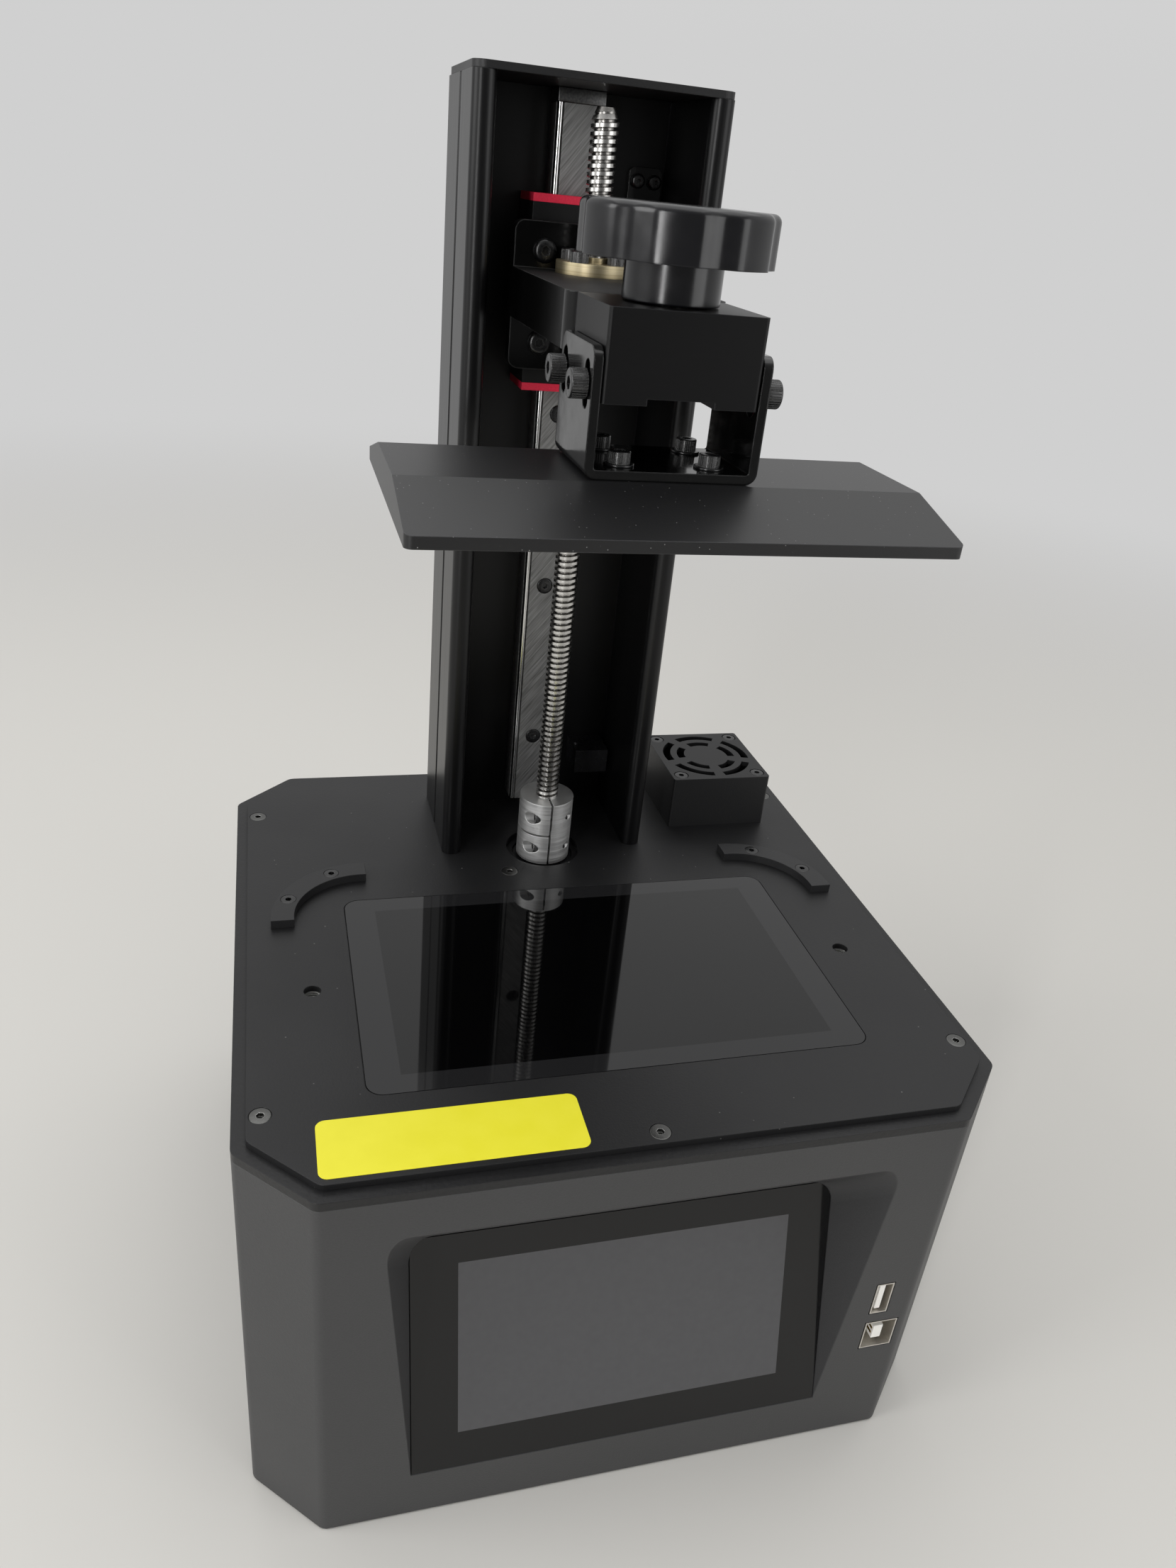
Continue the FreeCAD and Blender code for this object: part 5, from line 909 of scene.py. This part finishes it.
# Limit sensor and web plate: a small switch low in the channel, and a steel plate with two screws high in
# it. The switch case is smooth black nylon. The plate is sprayed and baked in gloss black enamel, which
# mirrors the room with a faint ripple and holds a few motes of dust; its button screws are blackened.
dress(nylon_black, "limit_sensor")
ripple_mm = 5.0
mote_mm = 3.2
gloss_enamel, tree, shader, place = new_finish("gloss_black_enamel", "#050505", roughness=0.1, ior=1.5)
ripple = raise_grain(tree, shader, place, grain_mm=ripple_mm, depth_mm=0.02, edge_mm=0.5)
vary(shader, ripple, 0.08, 0.15)
mote = motes(tree, place, mote_mm, rim=0.05, core=0.025)
paint = add_node(tree, "ShaderNodeMix", data_type="RGBA",
                 sockets={0: mote, 6: srgb("#050505"), 7: srgb("#3a3a3a")}).outputs[2]
tree.links.new(paint, shader.inputs["Base Color"])
dress(gloss_enamel, "web_plate")
fit_screws("web_button_screws", "web_plate_screws", "base", (0, -1, 0),
           radius_mm=2.2, head_mm=2.0, socket_mm=1.5, ease_mm=0.9, shank_mm=1.5)

# Shaft coupling: a turned aluminium sleeve, slit and half cut, that clamps the motor's shaft to the lead
# screw. Turning leaves fine rings round it, drawn a little coarse so that they show, and a satin glow; two
# blackened cap screws sit in bores across the slit.
turn_mark_mm = 0.4
turned_aluminium, tree, shader, place = new_finish("turned_aluminium", "#dededd", roughness=0.5, metallic=1.0)
rings = add_node(tree, "ShaderNodeMapping", {"Vector": place, "Scale": (0.03, 0.03, 1.0)})
marks = raise_grain(tree, shader, rings.outputs[0], grain_mm=turn_mark_mm, depth_mm=0.012, edge_mm=0.25)
vary(shader, marks, "#d4d4d3", "#e8e8e7")
vary(shader, marks, 0.44, 0.56)
dress(turned_aluminium, "shaft_coupling")
fit_screws("coupling_cap_screws", "coupling_screws", "drive", (-1, 0, 0),
           radius_mm=2.15, head_mm=2.25, socket_mm=2.0, ease_mm=0.25, shank_mm=1.25, ridges=True)

# Lead screw: a rolled steel screw with a trapezoid thread of 2 mm lead, tapered at its top end.
# Rolling polishes the flanks and crests; the roots are painted a little darker as shade.
lead = 2.0 * MM
thread_crest = 4.0 * MM
thread_root = 3.0 * MM
taper_long = 3.6 * MM
taper_deep = 1.5 * MM
screw_low, screw_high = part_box("lead_screw")
screw_middle = (screw_low + screw_high) / 2
thread = rolled_thread(thread_crest, thread_root, lead, screw_low.z, screw_high.z, steps=28)
point = start_piece("point", bpy.ops.mesh.primitive_cylinder_add, vertices=64, radius=thread_crest * 1.02,
                    depth=screw_high.z - taper_long - screw_low.z,
                    location=(0.0, 0.0, screw_middle.z - taper_long / 2))
pick(point, "FACE", lambda face: face.normal.z > 0.9)
bpy.ops.mesh.inset(thickness=taper_deep, depth=taper_long)
bpy.ops.object.mode_set(mode="OBJECT")
cut_away(thread, point, "INTERSECT")
thread.name = "rolled_lead_screw"
thread.location = (screw_middle.x, screw_middle.y, 0.0)
bpy.ops.object.select_all(action="DESELECT")
thread.select_set(True)
bpy.context.view_layer.objects.active = thread
bpy.ops.object.transform_apply(location=True, rotation=True, scale=True)
bpy.ops.object.shade_smooth_by_angle(angle=math.radians(30.0))
smear_mm = 1.6
rolled_steel, tree, shader, place = new_finish("rolled_screw_steel", "#bdbcba", roughness=0.26, metallic=1.0)
shifted = add_node(tree, "ShaderNodeVectorMath", operation="SUBTRACT",
                   sockets={0: place, 1: (screw_middle.x, screw_middle.y, 0.0)})
across = add_node(tree, "ShaderNodeVectorMath", operation="MULTIPLY",
                  sockets={0: shifted.outputs[0], 1: (1.0, 1.0, 0.0)})
radius = add_node(tree, "ShaderNodeVectorMath", {0: across.outputs[0]}, operation="LENGTH")
proud = add_node(tree, "ShaderNodeMapRange", sockets={
    "Value": radius.outputs["Value"], "From Min": thread_root, "From Max": thread_crest * 0.97})
smear = add_node(tree, "ShaderNodeTexNoise",
                 {"Vector": place, "Scale": 1.0 / (smear_mm * MM), "Detail": 3.0}).outputs[0]
bright = add_node(tree, "ShaderNodeMix", data_type="RGBA",
                  sockets={0: smear, 6: srgb("#b6b4b1"), 7: srgb("#d8d7d4")}).outputs[2]
# Painted shade: the roots are darker than the crests.
paint = add_node(tree, "ShaderNodeMix", data_type="RGBA",
                 sockets={0: proud.outputs[0], 6: srgb("#8f8d8a"), 7: bright}).outputs[2]
tree.links.new(paint, shader.inputs["Base Color"])
vary(shader, smear, 0.2, 0.34)
thread.data.materials.append(rolled_steel)
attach(thread, "drive")
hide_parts("lead_screw")

# Slider: a steel block that runs on the rail's rods, with a red wiper seal at each end.
# The block is blackened and satin; the seals are moulded nitrile rubber, smooth and strongly red.
slider_black, tree, shader, place = new_finish("blackened_slider_steel", "#0d0d0e", roughness=0.36, ior=1.4)
grain = raise_grain(tree, shader, place, grain_mm=0.4, depth_mm=0.008, edge_mm=0.4)
vary(shader, grain, "#0b0b0c", "#121213")
vary(shader, grain, 0.32, 0.42)
dress(slider_black, "slider_block")
red_rubber, tree, shader, place = new_finish("red_nitrile_rubber", "#dc2443", roughness=0.4, ior=1.5)
grain = raise_grain(tree, shader, place, grain_mm=0.5, depth_mm=0.015, edge_mm=0.3)
vary(shader, grain, "#d4203f", "#e32849")
dress(red_rubber, "slider_seals")

# Carriage arm: a cast bracket with a wing plate against the slider and a tongue for the clamp block. It is
# enamelled gloss black, dulled by dust on its top, with a highlight painted pale along its edges; four
# button screws hold the wing, and a bent strip behind it trips the switch.
arm_enamel, tree, shader, place = new_finish("baked_black_enamel", "#060606", roughness=0.2, ior=1.4)
ripple = raise_grain(tree, shader, place, grain_mm=ripple_mm, depth_mm=0.02, edge_mm=0.5)
facing = add_node(tree, "ShaderNodeNewGeometry").outputs["Normal"]
upward = add_node(tree, "ShaderNodeSeparateXYZ", {0: facing}).outputs["Z"]
dusty = add_node(tree, "ShaderNodeMapRange", sockets={
    "Value": upward, "From Min": 0.6, "To Min": 0.18, "To Max": 0.6})
tree.links.new(dusty.outputs[0], shader.inputs["Roughness"])
skin = add_node(tree, "ShaderNodeMix", data_type="RGBA",
                sockets={0: ripple, 6: srgb("#040404"), 7: srgb("#080808")}).outputs[2]
# Painted highlight: the edges are painted pale.
paint_edge_highlight_and_wear(tree, shader, skin, reach_mm=0.4, share=0.5, bare="#6a6a6a")
dress(arm_enamel, "carriage_arm")
dress(zinc_sheet, "sensor_flag")
fit_screws("wing_button_screws", "arm_screws", "carriage", (0, -1, 0),
           radius_mm=3.5, head_mm=2.2, socket_mm=2.5, ease_mm=1.3, shank_mm=1.5)

# Lead nut: a flanged brass nut in the arm, held by cap screws through its flange.
# Turned brass with fine rings, pale and a little dulled by handling; the screws are knurled and blackened.
turned_brass, tree, shader, place = new_finish("turned_brass", "#b5a888", roughness=0.4, metallic=1.0)
nut_low, nut_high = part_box("lead_nut")
nut_middle = (nut_low + nut_high) / 2
shifted = add_node(tree, "ShaderNodeVectorMath", {0: place, 1: nut_middle}, operation="SUBTRACT")
across = add_node(tree, "ShaderNodeVectorMath", operation="MULTIPLY",
                  sockets={0: shifted.outputs[0], 1: (1.0, 1.0, 0.0)})
radius = add_node(tree, "ShaderNodeVectorMath", {0: across.outputs[0]}, operation="LENGTH")
height = add_node(tree, "ShaderNodeSeparateXYZ", {0: shifted.outputs[0]}).outputs["Z"]
turning = add_node(tree, "ShaderNodeCombineXYZ", {"X": radius.outputs["Value"], "Z": height})
marks = raise_grain(tree, shader, turning.outputs[0], grain_mm=0.35, depth_mm=0.008, edge_mm=0.25)
vary(shader, marks, "#a39575", "#c6ba9a")
dress(turned_brass, "lead_nut")
fit_screws("nut_cap_screws", "nut_screws", "carriage", (0, 0, 1),
           radius_mm=2.75, head_mm=3.0, socket_mm=2.5, ease_mm=0.3, shank_mm=1.5, ridges=True)

# Clamp block: a milled aluminium block that slides on the arm's tongue and carries the platform.
# Black anodising over milled faces: soft shine, fine cutter marks, painted highlights on the sharp edges.
mill_mark_mm = 0.6
milled_anodised, tree, shader, place = new_finish("milled_black_anodising", "#080809", roughness=0.36,
                                                  ior=1.32)
cutter = add_node(tree, "ShaderNodeMapping", {"Vector": place, "Scale": (0.04, 1.0, 1.0)})
marks = raise_grain(tree, shader, cutter.outputs[0], grain_mm=mill_mark_mm, depth_mm=0.006, edge_mm=0.4)
skin = add_node(tree, "ShaderNodeMix", data_type="RGBA",
                sockets={0: marks, 6: srgb("#070708"), 7: srgb("#0a0a0b")}).outputs[2]
# Painted highlight: pale lines along the edges.
paint_edge_highlight_and_wear(tree, shader, skin, reach_mm=0.35, share=0.5, bare="#58585a")
dress(milled_anodised, "clamp_block")


# Clamp knob: a round hand knob with seven finger scallops, moulded in black phenolic on a steel stud that
# presses on the tongue. Phenolic is polished in the mould: deep black, glossy, with a slow ripple over its
# face.
def even_shading(piece, degrees):
    """Shade a piece smooth below an angle, with its large flat faces kept flat."""
    bpy.ops.object.select_all(action="DESELECT")
    piece.select_set(True)
    bpy.context.view_layer.objects.active = piece
    bpy.ops.object.shade_smooth_by_angle(angle=math.radians(degrees))
    even = piece.modifiers.new("even", "WEIGHTED_NORMAL")
    even.keep_sharp = True
    bpy.ops.object.modifier_apply(modifier="even")


knob_low, knob_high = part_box("clamp_knob")
knob_radius = 23.8 * MM
knob_middle = (0.0, (knob_low.y + knob_high.y) / 2)
knob_head = 12.0 * MM
neck_radius = 12.0 * MM
neck_sink = 1.0 * MM
scallops = 7
scallop_reach = 6.0 * MM
scallop_depth = 1.4 * MM
knob_ease = 2.0 * MM
knob_sides = 210
first_scallop = math.radians(-134.57)
knob = start_piece("scalloped_clamp_knob", bpy.ops.mesh.primitive_cylinder_add, vertices=knob_sides,
                   radius=knob_radius, depth=knob_head, location=(*knob_middle, knob_high.z - knob_head / 2))
pick(knob, "EDGE", lambda edge: all(corner.co.z > knob_high.z - knob_ease / 2 for corner in edge.verts))
ease_picked(knob_ease, 7)
for number in range(scallops):
    turn = first_scallop + 2 * math.pi * number / scallops
    outwards = Vector((math.cos(turn), math.sin(turn), 0.0))
    across = Vector((-outwards.y, outwards.x, 0.0))
    axis = Vector((*knob_middle, 0.0))
    half_side = knob_radius * math.pi / knob_sides
    pick(knob, "EDGE", lambda edge: all(abs((corner.co - axis).dot(across)) < half_side
                                        and (corner.co - axis).dot(outwards) > 0.0 for corner in edge.verts))
    bpy.ops.transform.translate(value=outwards * -scallop_depth, use_proportional_edit=True,
                                proportional_edit_falloff="SMOOTH", proportional_size=scallop_reach)
    bpy.ops.object.mode_set(mode="OBJECT")
neck_top = knob_high.z - knob_head + neck_sink
neck = start_piece("neck", bpy.ops.mesh.primitive_cylinder_add, vertices=96, radius=neck_radius,
                   depth=neck_top - knob_low.z, location=(*knob_middle, (neck_top + knob_low.z) / 2))
pick(neck, "EDGE", lambda edge: all(c.co.z < knob_low.z + neck_sink / 2 for c in edge.verts))
ease_picked(0.4 * MM, 3)
cut_away(knob, neck, "UNION")
stud_low, stud_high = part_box("clamp_stud")
bore_radius = (stud_high.x - stud_low.x) / 2 + 0.1 * MM
bore_top = stud_high.z + 0.2 * MM
bore = start_piece("bore", bpy.ops.mesh.primitive_cylinder_add, vertices=48, radius=bore_radius,
                   depth=2 * (bore_top - knob_low.z), location=(*knob_middle, knob_low.z))
cut_away(knob, bore)
even_shading(knob, 40.0)
phenolic, tree, shader, place = new_finish("polished_black_phenolic", "#0c0c0f", roughness=0.18, ior=1.5)
ripple = raise_grain(tree, shader, place, grain_mm=7.0, depth_mm=0.02, edge_mm=0.5)
vary(shader, ripple, "#0b0b0e", "#0f0f12")
vary(shader, ripple, 0.16, 0.24)
knob.data.materials.append(phenolic)
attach(knob, "knob")
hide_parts("clamp_knob")

# Levelling screws: four cap screws through the yoke's slots into the clamp block's sides.
# Knurled round the head for a finger hold and blackened; loosened, they let the platform settle level.
for side, name in ((-1, "left"), (1, "right")):
    fit_screws(f"levelling_cap_screws_{name}", "levelling_screws", "head", (side, 0, 0), side=side,
               radius_mm=3.5, head_mm=4.0, socket_mm=3.0, ease_mm=0.4, shank_mm=2.0, ridges=True)

# Plate yoke: a strip of thick steel bent to a U, slotted for the levelling screws, on top of the build
# plate. Its corners are ground round and it is enamelled gloss black; four cap screws on washers hold it to
# the plate.
yoke_low, yoke_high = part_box("plate_yoke")
yoke_middle = (yoke_low + yoke_high) / 2
yoke_wall = 2.4 * MM
yoke_bend = 3.0 * MM
yoke_corner = 3.2 * MM
slot_size = (80.0 * MM, 4.5 * MM, 11.2 * MM)
slot_reach = 11.0 * MM
slot_shift = 0.5 * MM
screws_low, screws_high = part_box("levelling_screws")
slot_level = (screws_low.z + screws_high.z) / 2
hole_radius = 1.6 * MM
yoke = start_piece("bent_plate_yoke", bpy.ops.mesh.primitive_plane_add, size=1.0)
yoke.scale = (yoke_high.x - yoke_low.x, yoke_high.y - yoke_low.y, 1.0)
yoke.location = (yoke_middle.x, yoke_middle.y, yoke_low.z)
bpy.ops.object.transform_apply(location=True, rotation=True, scale=True)
pick(yoke, "EDGE", lambda edge: abs(edge.verts[0].co.x - edge.verts[1].co.x) < yoke_wall)
bpy.ops.mesh.extrude_region_move(TRANSFORM_OT_translate={"value": (0.0, 0.0, yoke_high.z - yoke_low.z)})
bpy.ops.object.mode_set(mode="OBJECT")
pick(yoke, "EDGE", lambda edge: edge.is_boundary is False)
ease_picked(yoke_bend, 8)
pick(yoke, "EDGE", lambda edge: all(c.co.z > yoke_high.z - yoke_wall for c in edge.verts))
bpy.ops.mesh.bevel(offset=yoke_corner, segments=8, affect="VERTICES")
bpy.ops.object.mode_set(mode="OBJECT")
sheet = yoke.modifiers.new("sheet", "SOLIDIFY")
sheet.thickness = yoke_wall
sheet.offset = 1.0
sheet.use_even_offset = True
bpy.ops.object.modifier_apply(modifier="sheet")
for way in (-1, 1):
    slot = start_piece("slot", bpy.ops.mesh.primitive_cube_add, size=1.0, scale=slot_size,
                       location=(0.0, yoke_middle.y + slot_shift + way * slot_reach, slot_level))
    pick(slot, "EDGE", lambda edge: abs(edge.verts[0].co.x - edge.verts[1].co.x) > yoke_wall)
    ease_picked(slot_size[1] * 0.499, 8)
    cut_away(yoke, slot)
for low, high in solid_boxes("yoke_screws"):
    hole = start_piece("hole", bpy.ops.mesh.primitive_cylinder_add, vertices=32, radius=hole_radius,
                       depth=4 * yoke_wall, location=((low.x + high.x) / 2, (low.y + high.y) / 2, yoke_low.z))
    cut_away(yoke, hole)
ease = yoke.modifiers.new("ease", "BEVEL")
ease.width = 0.3 * MM
ease.segments = 2
ease.limit_method = "ANGLE"
ease.angle_limit = math.radians(50.0)
bpy.ops.object.modifier_apply(modifier="ease")
even_shading(yoke, 60.0)
yoke.data.materials.append(gloss_enamel)
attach(yoke, "yoke")
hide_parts("plate_yoke")
fit_screws("yoke_cap_screws", "yoke_screws", "yoke", (0, 0, 1),
           radius_mm=2.75, head_mm=3.0, socket_mm=2.5, ease_mm=0.3, shank_mm=1.5, ridges=True,
           washer=(3.8, 0.6))

# Build plate: a thick milled aluminium plate with a low roof, on whose flat underside the print grows.
# Blasted and anodised black: an even satin, its grain drawn a little coarse so that it shows, with specks
# of dust and pale, sharp edges.
blast_mm = 0.35
speck_mm = 2.0
blasted, tree, shader, place = new_finish("blasted_black_anodising", "#161617", roughness=0.38, ior=1.47)
grain = raise_grain(tree, shader, place, grain_mm=blast_mm, depth_mm=0.012, edge_mm=0.35)
skin = add_node(tree, "ShaderNodeMix", data_type="RGBA",
                sockets={0: grain, 6: srgb("#141415"), 7: srgb("#1a1a1b")}).outputs[2]
speck = motes(tree, place, speck_mm, rim=0.07, core=0.04)
dusty = add_node(tree, "ShaderNodeMix", {0: speck, 6: skin, 7: srgb("#8a8a8a")}, data_type="RGBA").outputs[2]
paint_edge_highlight_and_wear(tree, shader, dusty, reach_mm=0.35, share=0.5, bare="#606062")
dress(blasted, "build_plate")
